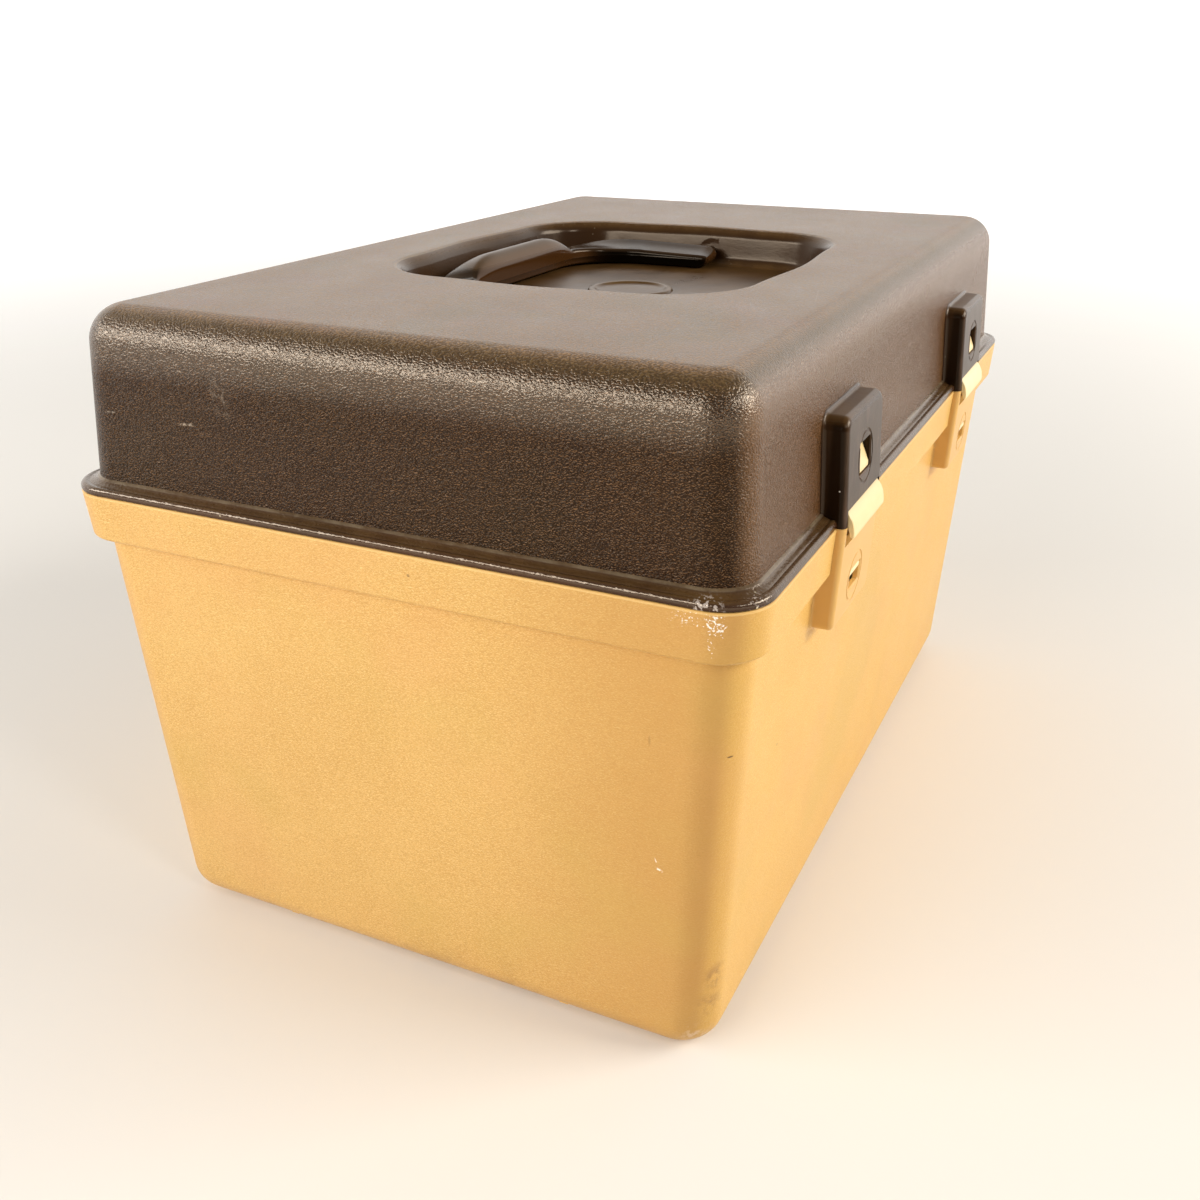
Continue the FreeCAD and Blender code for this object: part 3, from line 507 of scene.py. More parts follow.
def make_tan(grain=True):
    m = new_material("tan_grain" if grain else "tan_smooth")
    t = Tree(m)
    x, y, z = t.split(t.pos)
    base = t.mix(t.ramp(t.noise(13.0, 3.0, 0.55), 0.38, 0.64), TAN_A, TAN_B)
    base = t.mix(t.ramp(t.noise(70.0, 3.0, 0.6), 0.42, 0.70, 0.0, 0.30), base, TAN_C)
    if grain:
        h, flank = grain_height(t, GRAIN_TUB)
        crest = t.ramp(h, 0.45, 0.85)
        # painted shade in the grain's valleys, painted highlight on its crests and on the upper flanks of the ridges
        base = t.mix(t.ramp(h, 0.42, 0.20, 0.0, 0.22), base, rgb(170, 118, 58))
        base = t.mix(t.ramp(h, 0.66, 0.92, 0.0, 0.30), base, rgb(250, 216, 148))
        base = t.mix(t.math("MULTIPLY", flank, 0.55), base, rgb(255, 230, 160))
        # painted shade on the upright corners, which get less light
        nx, ny, nz = t.split(t.normal)
        corner_shade = t.ramp(t.math("ABSOLUTE", t.math("MULTIPLY", nx, ny)), 0.12, 0.48, 0.0, 0.55)
        base = t.mix(corner_shade, base, rgb(192, 140, 66))
        # painted shade: the end face darker towards the front
        end = t.math("MULTIPLY", t.ramp(nx, -0.50, -0.85), t.ramp(t.split(t.pos)[1], -0.010, -0.085, 0.22, 0.80))
        base = t.mix(end, base, rgb(190, 141, 74))
        # painted warm light on the faces turned towards the front
        base = t.mix(t.ramp(ny, -0.55, -0.90, 0.0, 0.45), base, rgb(222, 172, 84))
        # faint reddish and greenish clouds
        base = t.mix(t.ramp(t.noise(24.0, 2.0, 0.5), 0.50, 0.70, 0.0, 0.22), base, rgb(214, 158, 98))
        base = t.mix(t.ramp(t.noise(21.0, 2.0, 0.5, t.vec("ADD", t.pos, (0.2, 0.4, 0.1))), 0.50, 0.70, 0.0, 0.22), base, rgb(196, 166, 86))
        # white rubbed flecks near the corner of the band
        blob = t.near((-145.7, -86.0, 127.0), 4.2, (0.8, 1.0, 0.85))
        wide = t.math("MULTIPLY", t.near((-146.3, -80.0, 127.4), 6.5, (0.8, 0.8, 1.7)), 0.55)
        tail = t.math("MULTIPLY", t.near((-145.9, -85.3, 121.5), 2.8, (0.8, 1.5, 0.7)), 0.62)
        fl = t.math("MAXIMUM", blob, t.math("MAXIMUM", wide, tail))
        here = t.ramp(fl, 0.02, 0.12)
        fl = t.math("MULTIPLY_ADD", fl, 0.34, t.noise(1350.0, 2.0, 0.6))
        fl = t.math("MULTIPLY", t.math("MULTIPLY", t.ramp(fl, 0.70, 0.76), here), t.ramp(h, 0.35, 0.62, 0.0, 1.0))
        base = t.mix(t.math("MULTIPLY", fl, 0.85), base, rgb(252, 244, 232))
        # painted highlight along the rounded top edge of the rim
        base = t.mix(t.ramp(z, 0.12885, 0.1293, 0.0, 0.55), base, rgb(255, 226, 158))
        # pale rubbed spots on the left corner of the band
        fl = t.near((-143.0, 92.0, 123.0), 9.0)
        here = t.ramp(fl, 0.02, 0.12)
        fl = t.math("MULTIPLY", t.math("MULTIPLY", t.ramp(t.math("MULTIPLY_ADD", fl, 0.25, t.noise(300.0, 2.0, 0.6)), 0.66, 0.74), here), 0.5)
        base = t.mix(fl, base, rgb(250, 224, 176))
        # small chip on the end wall and dark marks
        chip = t.math("MULTIPLY", sum_strokes(t, CHIPS_TAN), t.ramp(t.noise(1500.0, 1.0, 0.5), 0.36, 0.50))
        base = t.mix(t.math("MULTIPLY", chip, 0.95), base, rgb(252, 242, 226))
        for c, r, k, stretch in SPECKS_TAN:
            spot = t.ramp(t.near(c, r, stretch), 0.15, 0.6)
            base = t.mix(t.math("MULTIPLY", spot, k), base, rgb(84, 54, 30))
        # brown smudges low on the near corner and along the bottom edge
        smud = t.math("MAXIMUM", t.math("MULTIPLY", t.near((-132.1, -84.9, 24.5), 5.0, (1, 1, 0.8)), 0.8),
                      t.math("MULTIPLY", t.near((-132.7, -83.9, 16.0), 6.0), 0.55))
        smud = t.math("MULTIPLY", smud, t.ramp(t.noise(240.0, 4.0, 0.65), 0.36, 0.64))
        low = t.math("MULTIPLY", t.ramp(z, 0.016, 0.001), t.ramp(t.noise(85.0, 4.0, 0.65), 0.48, 0.72, 0.0, 0.28))
        base = t.mix(t.math("MAXIMUM", smud, low), base, rgb(140, 98, 58))
        rub = t.math("MULTIPLY", t.near((-134.4, -81.5, 6.5), 6.0, (1, 1, 1.2)), t.ramp(t.noise(520.0, 3.0, 0.6), 0.45, 0.65))
        base = t.mix(t.math("MULTIPLY", rub, 0.5), base, rgb(236, 214, 190))
        dots = t.math("MULTIPLY", t.ramp(t.voronoi(210.0), 0.075, 0.035), t.ramp(t.noise(60.0, 2.0), 0.62, 0.68))
        base = t.mix(t.math("MULTIPLY", dots, 0.35), base, rgb(130, 90, 50))
        lines = sum_strokes(t, SCRATCHES_TAN)
        base = t.mix(t.math("MULTIPLY", lines, t.math("MULTIPLY_ADD", crest, 0.4, 0.12)), base, rgb(250, 226, 180))
    rough = t.math("MULTIPLY_ADD", t.noise(30.0, 3.0, 0.6), 0.12, 0.34 if grain else 0.30)
    n = t.bump(t.noise(8.0, 1.0, 0.4), 0.0018, 1.0)
    if grain:
        n = t.bump(h, GRAIN_TUB_D, 1.0, n)
    else:
        n = t.bump(t.noise(700.0, 2.0, 0.6), 0.00002, 1.0, n)
    t.finish(base, rough, n, spec=0.28)
    return m


def make_handle_mat():
    m = new_material("handle_gloss")
    t = Tree(m)
    nx, ny, nz = t.split(t.normal)
    x, y, z = t.split(t.pos)
    base = t.mix(t.ramp(t.noise(40.0, 3.0, 0.55), 0.35, 0.68), rgb(22, 12, 4), rgb(32, 18, 6))
    dust = t.math("MULTIPLY", t.ramp(nz, 0.45, 0.90), t.ramp(t.noise(70.0, 2.0, 0.5), 0.30, 0.75, 0.05, 0.13))
    grip = t.math("MULTIPLY", t.ramp(z, 0.1715, 0.1735), t.ramp(nz, 0.05, 0.40, 0.35, 1.0))
    dust = t.math("MAXIMUM", dust, t.math("MULTIPLY", grip, 0.22))
    # painted warm light on the faces turned towards the front
    base = t.mix(t.ramp(ny, -0.60, -0.92, 0.0, 0.62), base, rgb(78, 47, 20))
    # painted shade: the upright sides of the arms darkened nearly to black
    side = t.math("MULTIPLY", t.ramp(t.math("ABSOLUTE", nx), 0.50, 0.90), t.ramp(nz, 0.40, 0.10))
    base = t.mix(side, base, rgb(8, 5, 2))
    base = t.mix(dust, base, rgb(150, 116, 80))
    rough = t.math("MULTIPLY_ADD", t.noise(55.0, 3.0, 0.6), 0.10, 0.10)
    rough = t.math("MULTIPLY_ADD", dust, 0.8, rough)
    n = t.bump(t.noise(36.0, 2.0, 0.5), 0.00022, 1.0)
    n = t.bump(t.noise(600.0, 2.0, 0.6), 0.00001, 1.0, n)
    t.finish(base, rough, n, spec=t.math("MULTIPLY_ADD", side, -0.18, 0.25), tint=WARM)
    return m


def make_latch_mat():
    m = new_material("latch_cream")
    t = Tree(m)
    base = t.mix(t.ramp(t.noise(50.0, 3.0, 0.55), 0.35, 0.68), rgb(236, 208, 150), rgb(242, 217, 163))
    worn = t.math("MULTIPLY", t.ramp(t.noise(320.0, 3.0, 0.6), 0.55, 0.75), 0.3)
    base = t.mix(worn, base, rgb(226, 196, 132))
    rough = t.math("MULTIPLY_ADD", t.noise(70.0, 3.0, 0.6), 0.12, 0.26)
    n = t.bump(t.noise(500.0, 2.0, 0.6), 0.00002, 1.0)
    t.finish(base, rough, n, spec=0.5)
    return m


def make_tray_mat():
    m = new_material("tray_plastic")
    t = Tree(m)
    base = t.mix(t.ramp(t.noise(16.0, 3.0, 0.55), 0.38, 0.64), rgb(228, 190, 128), rgb(236, 200, 138))
    rub = t.math("MULTIPLY", t.ramp(t.noise(110.0, 4.0, 0.65), 0.50, 0.72), 0.22)
    base = t.mix(rub, base, rgb(204, 160, 100))
    rough = t.math("MULTIPLY_ADD", t.noise(45.0, 3.0, 0.6), 0.14, 0.34)
    n = t.bump(t.noise(9.0, 1.0, 0.4), 0.0012, 1.0)
    n = t.bump(t.noise(650.0, 2.0, 0.6), 0.00002, 1.0, n)
    t.finish(base, rough, n, spec=0.5)
    return m


def make_steel():
    m = new_material("drawn_wire")
    t = Tree(m)
    x, y, z = t.split(t.pos)
    p = t.node("ShaderNodeCombineXYZ", {0: t.math("MULTIPLY", x, 0.05), 1: y, 2: z}).outputs[0]
    draw = t.noise(2600.0, 3.0, 0.6, p)
    base = t.mix(t.ramp(t.noise(120.0, 3.0), 0.45, 0.70), (0.52, 0.50, 0.47, 1.0), (0.38, 0.35, 0.31, 1.0))
    rough = t.math("MULTIPLY_ADD", draw, 0.2, 0.22)
    t.finish(base, rough, t.bump(draw, 0.00001, 1.0), metallic=1.0)
    return m


GRAIN_LID, GRAIN_LID_D = 0.50, 0.00019
GRAIN_TUB, GRAIN_TUB_D = 0.50, 0.00006
BROWN_A, BROWN_B, BROWN_C = rgb(37, 19, 7), rgb(44, 24, 9), rgb(40, 26, 7)
DUST, DUST_C = 0.42, rgb(168, 129, 86)
TAN_A, TAN_B, TAN_C = rgb(216, 170, 97), rgb(222, 177, 104), rgb(210, 163, 90)
SCRATCHES_BROWN = [
    ((-141.6, 57.0, 150.7), (-141.6, 51.0, 150.9), 0.45),
    ((-141.6, 54.5, 150.9), (-141.6, 52.0, 151.3), 0.3),
    ((-141.6, 80.6, 150.9), (-141.6, 76.8, 151.2), 0.35),
    ((-140.9, 55.5, 163.5), (-140.8, 53.6, 163.7), 0.3),
    ((-104.0, -38.0, 176.6), (-84.0, -61.0, 176.6), 0.22),
    ((-96.0, -20.0, 176.6), (-118.0, 14.0, 176.6), 0.18),
    ((-60.0, -78.0, 176.6), (-31.0, -71.0, 176.6), 0.2),
    ((88.0, 30.0, 176.6), (112.0, -8.0, 176.6), 0.22),
    ((-114.2, 49.0, 176.6), (-112.6, 47.2, 176.6), 0.3),
]
SCRATCHES_TAN = [
    ((-141.0, 40.0, 72.0), (-140.6, 26.0, 66.0), 0.2),
    ((-30.0, -88.6, 70.0), (-12.0, -88.4, 66.0), 0.2),
    ((40.0, -87.4, 40.0), (62.0, -87.0, 34.0), 0.2),
]
CHIPS_TAN = [
    ((-139.8, -71.1, 60.9), (-139.8, -71.7, 59.4), 0.2),
    ((-139.8, -71.5, 57.9), (-139.8, -73.3, 57.2), 0.5),
]
SPECKS_TAN = [
    ((-136.8, -87.6, 90.8), 1.0, 0.85, (0.6, 0.9, 2.6)),
    ((-142.5, -32.3, 115.8), 0.6, 0.8, (1, 1, 1)),
    ((-105.5, -89.0, 77.8), 0.6, 0.5, (1, 1, 1)),
    ((-146.4, -11.5, 124.5), 0.7, 0.5, (1, 1, 1)),
    ((-140.9, -70.0, 93.3), 1.2, 0.25, (1, 1.8, 0.4)),
    ((-139.0, -62.0, 60.0), 0.7, 0.3, (1, 1, 1)),
    ((-140.6, 74.0, 93.0), 0.7, 0.3, (1, 1, 1)),
]

BROWN, BROWN_SMOOTH, BROWN_BEAD = make_grained_brown(), make_smooth_brown(), make_bead_brown()
TAN, TAN_SMOOTH = make_tan(True), make_tan(False)
HANDLE_MAT, LATCH_MAT, TRAY_MAT, STEEL = make_handle_mat(), make_latch_mat(), make_tray_mat(), make_steel()
BROWNS = (BROWN, BROWN_SMOOTH, BROWN_BEAD)
TANS = (TAN, TAN_SMOOTH)


# ------------------------------------------------------------------ tub
def pad_outline(off, z_lo, z_hi, r_lo, r_hi, n=6):
    """Outline of a latch housing seen from the front, about x = 0."""
    w = PAD_HW + off
    pts = []

    def corner(cx, cz, r, a0, a1):
        if r <= 0.01:
            pts.extend([(cx, cz)] * (n + 1))
        else:
            for a in arc(n, a0, a1):
                pts.append((cx + r * math.cos(a), cz + r * math.sin(a)))
    corner(w - r_lo, z_lo + r_lo, r_lo, 270, 360)
    corner(w - r_hi, z_hi - r_hi, r_hi, 0, 90)
    corner(-w + r_hi, z_hi - r_hi, r_hi, 90, 180)
    corner(-w + r_lo, z_lo + r_lo, r_lo, 180, 270)
    return pts


def housing(cx, z_lo, z_hi, r_lo, r_hi, wall_y, root, edge, open_top, mat):
    """Latch housing: a root fillet on the wall, straight sides and a rounded front edge.
    The end at the parting line (top of the tub's, bottom of the lid's) stays square."""
    def outline(off):
        lo, hi = z_lo, z_hi
        rl, rh = r_lo, r_hi
        if open_top:
            lo, rl = z_lo - off, max(r_lo + off, 0.3)
            rh = 0.02
        else:
            hi, rh = z_hi + off, max(r_hi + off, 0.3)
            rl = 0.02
        return pad_outline(off, lo, hi, rl, rh)
    rings = []
    rings.append([(cx + x, wall_y(z) + 1.4, z) for x, z in outline(root)])
    for a in arc(5, 0, 90):
        off, t = root * (1 - math.sin(a)), root * (1 - math.cos(a))
        rings.append([(cx + x, wall_y(z) - t, z) for x, z in outline(off)])
    for a in arc(6, 0, 90):
        off, t = -edge * (1 - math.cos(a)), edge * (1 - math.sin(a))
        rings.append([(cx + x, face_y(z) + t, z) for x, z in outline(off)])
    return Shape().loft(rings, mat)


def torus_groove(cx, z, r=6.55, minor=0.42, n=48, k=10):
    ny, nz = -1.0, (PAD_SLOPE if z > Z_PART else -PAD_SLOPE)
    ln = math.hypot(ny, nz)
    ny, nz = ny / ln, nz / ln
    cy, cz = face_y(z) + ny * 0.12, z + nz * 0.12
    uy, uz = -nz, ny
    if uz < 0:
        uy, uz = -uy, -uz
    s = Shape()
    ids = []
    for i in range(n):
        a = 2 * math.pi * i / n
        ring = []
        for j in range(k):
            b = 2 * math.pi * j / k
            rr = r + minor * math.cos(b)
            h = minor * math.sin(b)
            ring.append((cx + rr * math.cos(a), cy + rr * math.sin(a) * uy + h * ny, cz + rr * math.sin(a) * uz + h * nz))
        ids.append(s.ring(ring))
    for i in range(n):
        s.bridge(ids[i], ids[(i + 1) % n], 0)
    return s


def window_cut(cx, z0, z1):
    """Window cutter with a small flare at the front face."""
    s = Shape()
    rings = []
    for off, y in ((0.0, -93.2), (0.0, None), (0.45, None)):
        pts = []
        hw = WIN_HW + off
        r = 0.7 + off
        for sx, sz, q in ((1, 1, 0), (-1, 1, 1), (-1, -1, 2), (1, -1, 3)):
            ccx = sx * (hw - r)
            ccz = (z1 + off - r) if sz > 0 else (z0 - off + r)
            for a in arc(4, 90 * q, 90 * q + 90):
                pts.append((cx + ccx + r * math.cos(a), ccz + r * math.sin(a)))
        rings.append((off, y, pts))
    out = []
    for i, (off, y, pts) in enumerate(rings):
        if i == 0:
            out.append([(x, y, z) for x, z in pts])
        elif i == 1:
            out.append([(x, face_y(z) + 0.35, z) for x, z in pts])
        else:
            out.append([(x, face_y(z) - 0.1, z) for x, z in pts])
    out.append([(x, -100.5, z) for x, z in rings[2][2]])
    return s.loft(out, 0)


def build_tub():
    rings, mats = [], []

    def put(r, m=0):
        rings.append(r)
        mats.append(m)
    # underside: shallow panel, standing rim, rounded bottom edge
    put(rrect(90, 40, 4, 0.8))
    put(rrect(111.5, 59.5, 6, 0.8))
    put(rrect(112.5, 60.5, 6.6, 0.55))
    put(rrect(112.9, 60.9, 6.9, 0.2))
    put(rrect(113.2, 61.2, 7.1, 0.0))
    put(rrect(122.0, 70.0, 5.0, 0.0))
    for a in arc(12, 0, 90):
        z = BASE_RB * (1 - math.cos(a))
        hx, hy = tub_half(z)
        d = BASE_RB * (1 - math.sin(a))
        put(rrect(hx - d, hy - d, BASE_R - d * 0.9, z))
    z0, z1 = BASE_RB, Z_BAND - 0.9
    for i in range(1, 13):
        z = z0 + (z1 - z0) * i / 12
        hx, hy = tub_half(z)
        t = (z - z0) / (z1 - z0)
        put(rrect(hx, hy, BASE_R + 0.4 * t, z, bow=-0.55 * math.sin(math.pi * min(1.0, t * 1.02)) ** 2))
    # small concave root under the band
    hx, hy = tub_half(Z_BAND)
    for a in arc(4, 0, 90)[1:]:
        put(rrect(hx + 0.6 * (1 - math.cos(a)), hy + 0.6 * (1 - math.cos(a)), BASE_R + 0.5, Z_BAND - 0.6 + 0.6 * math.sin(a)))
    bl, bw = HALF_L - BAND_TAPER, HALF_W - BAND_TAPER
    put(rrect(bl - 1.3, bw - 1.3, BAND_R - 1.2, Z_BAND))
    for a in arc(6, 0, 90):
        d = 1.1 * (1 - math.sin(a))
        put(rrect(bl - d, bw - d, BAND_R - d, Z_BAND + 1.1 * (1 - math.cos(a))))
    for i in range(1, 5):
        t = i / 4
        z = Z_BAND + 1.1 + (Z_PART - 0.4 - Z_BAND - 1.1) * t
        put(rrect(bl + BAND_TAPER * t, bw + BAND_TAPER * t, BAND_R, z, bow=-0.15 * math.sin(math.pi * t) ** 2))
    for a in arc(4, 0, 90)[1:]:
        d = 0.4 * (1 - math.cos(a))
        put(rrect(HALF_L - d, HALF_W - d, BAND_R - d, Z_PART - 0.4 + 0.4 * math.sin(a)), 1)
    # inside
    put(rrect(HALF_L - WALL + 0.3, HALF_W - WALL + 0.3, BAND_R - WALL + 0.3, Z_PART), 1)
    put(rrect(HALF_L - WALL, HALF_W - WALL, BAND_R - WALL, Z_PART - 0.3), 1)
    put(rrect(bl - WALL, bw - WALL, BAND_R - WALL, Z_BAND + WALL), 1)
    sh = Z_BAND + WALL
    ih, iw = tub_half(sh)
    put(rrect(ih - WALL + 0.4, iw - WALL + 0.4, BASE_R - WALL + 0.8, sh), 1)
    put(rrect(ih - WALL, iw - WALL, BASE_R - WALL + 0.4, sh - 0.4), 1)
    for i in range(1, 9):
        t = i / 8
        z = sh - 0.4 + (2.4 + BASE_RB - WALL - sh + 0.4) * t
        hx, hy = tub_half(z)
        put(rrect(hx - WALL, hy - WALL, BASE_R - WALL + 0.4 * (1 - t), z, bow=-0.55 * math.sin(math.pi * t) ** 2), 1)
    ri = BASE_RB - WALL
    for a in arc(8, 0, 90)[1:]:
        z = 2.4 + ri * (1 - math.sin(a))
        hx, hy = tub_half(z)
        d = ri * (1 - math.cos(a))
        put(rrect(hx - WALL - d, hy - WALL - d, max(BASE_R - WALL - d * 0.9, 0.6), z), 1)
    put(rrect(90, 40, 4, 2.4), 1)
    ob = to_object("tub_shell", Shape().loft(rings, mats[1:]), TANS)
    return ob


def tub_details(ob):
    add = Shape()
    for sx in (-1, 1):
        cx = sx * LATCH_X

        def wall_smooth(z):
            return -tub_half(min(z, Z_BAND))[1]
        add.add(housing(cx, PAD_BOT, Z_PART - 0.02, 2.2, 0.0, wall_smooth, 0.7, 1.5, True, 1))
        for a, b in ((-EAR_END, -KNUCKLE_HW - EAR_GAP), (KNUCKLE_HW + EAR_GAP, EAR_END)):
            pts = [(93.6, 118.6), (94.7, 118.6)]
            for t in arc(18, -22, 180):
                pts.append((HINGE_Y + KNUCKLE_R * math.cos(t), HINGE_Z + KNUCKLE_R * math.sin(t)))
            pts.append((HINGE_Y - KNUCKLE_R, HINGE_Z - 1.0))
            pts.append((93.2, HINGE_Z - 2.5))
            add.prism(pts, cx + a, cx + b, 0, 1)
    for sx in (-1, 1):
        for y in (-44.0, 44.0):
            pts = [(sx * 133.0, 3.0), (sx * 131.6, 84.0), (sx * 138.9, 84.0), (sx * 135.3, 3.0)]
            add.prism(pts, y - 1.25, y + 1.25, 1, 1)
    for sy in (-1, 1):
        for x in (-96.0, 96.0):
            add.prism([(sy * 81.4, 3.0), (sy * 80.4, 84.0), (sy * 87.3, 84.0), (sy * 83.2, 3.0)], x - 1.25, x + 1.25, 0, 1)
    combine(ob, add, "UNION", TANS)
    cut = Shape()
    for sx in (-1, 1):
        cx = sx * LATCH_X
        w = PAD_HW - PAD_SIDE
        cut.prism([(face_y(106.0) + PAD_FRONT - 0.3, 106.0), (PAD_Y + PAD_FRONT, Z_PART + 1), (-85.0, Z_PART + 1),
                   (-85.0, Z_BAND + WALL), (-91.2, Z_BAND + WALL), (-91.2, 106.0)], cx - w, cx + w, 0, 1)
    combine(ob, cut, "DIFFERENCE", TANS)
    cut = Shape()
    for sx in (-1, 1):
        cx = sx * LATCH_X
        w = PAD_HW - PAD_SIDE
        cut.box(cx - w - 0.01, cx + w + 0.01, -100.5, -94.0, PAD_SLOT_TOP, Z_PART + 1, 1)
        cut.add(window_cut(cx, *WIN_LO))
        cut.box(cx - KNUCKLE_HW - EAR_GAP, cx + KNUCKLE_HW + EAR_GAP, 91.8, 99.5, 125.9, 134.0, 1)
    cut.m = [1] * len(cut.m)
    combine(ob, cut, "DIFFERENCE", TANS)
    cut = Shape()
    for sx in (-1, 1):
        cx = sx * LATCH_X
        cut.add(torus_groove(cx, 0.5 * (WIN_LO[0] + WIN_LO[1])))
        cut.rod(1.25, cx - EAR_END - 1, cx + EAR_END + 1, HINGE_Y, HINGE_Z, 24, 1)
    cut.m = [1] * len(cut.m)
    combine(ob, cut, "DIFFERENCE", TANS)
    smooth(ob)


# ------------------------------------------------------------------ lid
def flange(o, h, r=None):
    """Ring at an offset inside the flange's edge and a height over the parting line."""
    rr = BAND_R - 0.18 * o if o < 2.25 else 12.1 - (o - 2.25) * 0.914
    return rrect(HALF_L - o, HALF_W - o * 0.9875, rr if r is None else r, ZB + h)


def build_lid():
    rings, mats = [], []

    def put(r, m=0):
        rings.append(r)
        mats.append(m)
    bx, by = REC_X + 1.2, -1.2
    tmpl = rrect(REC_L, REC_W, REC_R, 0, REC_X)
    # round boss in the middle of the recess floor
    for r, h in ((3.0, 0.12), (7.5, 0.16), (9.9, 0.28), (10.5, 0.42), (10.95, 0.74), (11.3, 0.95), (11.7, 1.02),
                 (12.4, 1.02), (12.85, 0.93), (13.15, 0.7), (13.35, 0.3), (13.5, 0.08), (13.9, 0.0)):
        put(circle_like(tmpl, r, REC_FLOOR + h, bx, by), 1)
    fr, rr = 3.0, 3.4
    depth = Z_TOP - REC_FLOOR

    def rec(z, d=0.0, r_extra=0.0):
        """Recess wall at a height, moved in by d."""
        k = (Z_TOP - z) / depth
        hx = REC_L - REC_DRAFT * k - d - REC_BOW
        hy = REC_W - REC_DRAFT * k - d - REC_BOW
        return rrect(hx, hy, max(REC_R - REC_BOW - REC_DRAFT * k - d, 2.0), z, REC_X, 0.0, bow=REC_BOW)
    put(rec(REC_FLOOR, 14.0), 1)
    for a in arc(8, 0, 90):
        put(rec(REC_FLOOR + fr * (1 - math.cos(a)), fr * (1 - math.sin(a))), 1)
    for z in (169.0, 171.0):
        put(rec(z), 1)
    for a in arc(10, 0, 90):
        put(rec(Z_TOP - rr + rr * math.sin(a), -rr * (1 - math.cos(a))), 1 if a < math.radians(68) else 0)
    # top plane, with the faint hollow a moulded panel has
    lx, ly = lid_half(Z_TOP)
    inner = rec(Z_TOP, -rr)
    ox, oy, orr = lx - LID_RT, ly - LID_RT, max(LID_R - LID_RT, 0.6) + 0.6
    outer = rrect(ox, oy, orr, Z_TOP)
    for t in (0.12, 0.3, 0.5, 0.7, 0.88):
        sag = -0.22 * math.sin(math.pi * t) ** 2
        put([(a[0] + (b[0] - a[0]) * t, a[1] + (b[1] - a[1]) * t, Z_TOP + sag) for a, b in zip(inner, outer)])
    for a in arc(14, 0, 90):
        d = LID_RT * (1 - math.sin(a))
        z = Z_TOP - LID_RT * (1 - math.cos(a))
        hx, hy = lid_half(z)
        put(rrect(hx - d, hy - d, max(LID_R - d, 0.6) + 0.6 * (d / LID_RT), z))
    za, zc = Z_TOP - LID_RT, ZB + 3.45
    for i in range(1, 9):
        z = za + (zc - za) * i / 8
        hx, hy = lid_half(z)
        put(rrect(hx, hy, LID_R, z, bow=-0.30 * math.sin(math.pi * i / 8) ** 2), 0)
    # cove, ledge, groove, bead, edge
    for o, h in ((3.72, 3.22), (3.52, 2.98), (3.25, 2.72), (2.9, 2.5), (2.45, 2.34), (2.1, 2.22), (1.9, 2.08),
                 (1.72, 1.98), (1.55, 2.0), (1.35, 2.10)):
        put(flange(o, h), 2)
    for a in arc(8, 100, 180):
        put(flange(1.2 + 1.2 * math.cos(a), 0.98 + 1.17 * math.sin(a)), 2)
    put(flange(0.0, 0.5), 2)
    for a in arc(4, 180, 270)[1:]:
        put(flange(0.45 + 0.45 * math.cos(a), 0.45 + 0.45 * math.sin(a)), 2)
    # underside of the flange, then the inside
    hx, hy = lid_half(ZB)
    put(rrect(hx - WALL + 0.2, hy - WALL + 0.2, LID_R - WALL + 0.2, ZB), 1)
    ztop_in = Z_TOP - WALL
    ri = LID_RT - WALL
    for i in range(0, 7):
        z = ZB + 0.2 + (ztop_in - ri - ZB - 0.2) * i / 6
        hx, hy = lid_half(z)
        put(rrect(hx - WALL, hy - WALL, LID_R - WALL, z, bow=-0.30 * math.sin(math.pi * i / 6) ** 2), 1)
    for a in arc(8, 0, 90)[1:]:
        z = ztop_in - ri + ri * math.sin(a)
        d = ri * (1 - math.cos(a))
        hx, hy = lid_half(z)
        put(rrect(hx - WALL - d, hy - WALL - d, max(LID_R - WALL - d, 0.8), z), 1)
    w = WALL

    def rec_out(z, d=0.0):
        k = (Z_TOP - z) / depth
        return rrect(REC_L + w - REC_DRAFT * k - REC_BOW - d, REC_W + w - REC_DRAFT * k - REC_BOW - d,
                     REC_R + w - REC_DRAFT * k - REC_BOW - d, z, REC_X, 0.0, bow=REC_BOW)
    put(rec_out(ztop_in, -2.2), 1)
    put(rec_out(ztop_in - 0.6, -0.6), 1)
    put(rec_out(ztop_in - 2.2), 1)
    put(rec_out(168.0), 1)
    zf = REC_FLOOR - w
    for a in arc(5, 0, 90):
        put(rec_out(zf + 3.0 * (1 - math.sin(a)), 3.0 * (1 - math.cos(a))), 1)
    put(rec_out(zf, 20.0), 1)
    return to_object("lid_shell", Shape().loft(rings, mats[1:]), BROWNS)


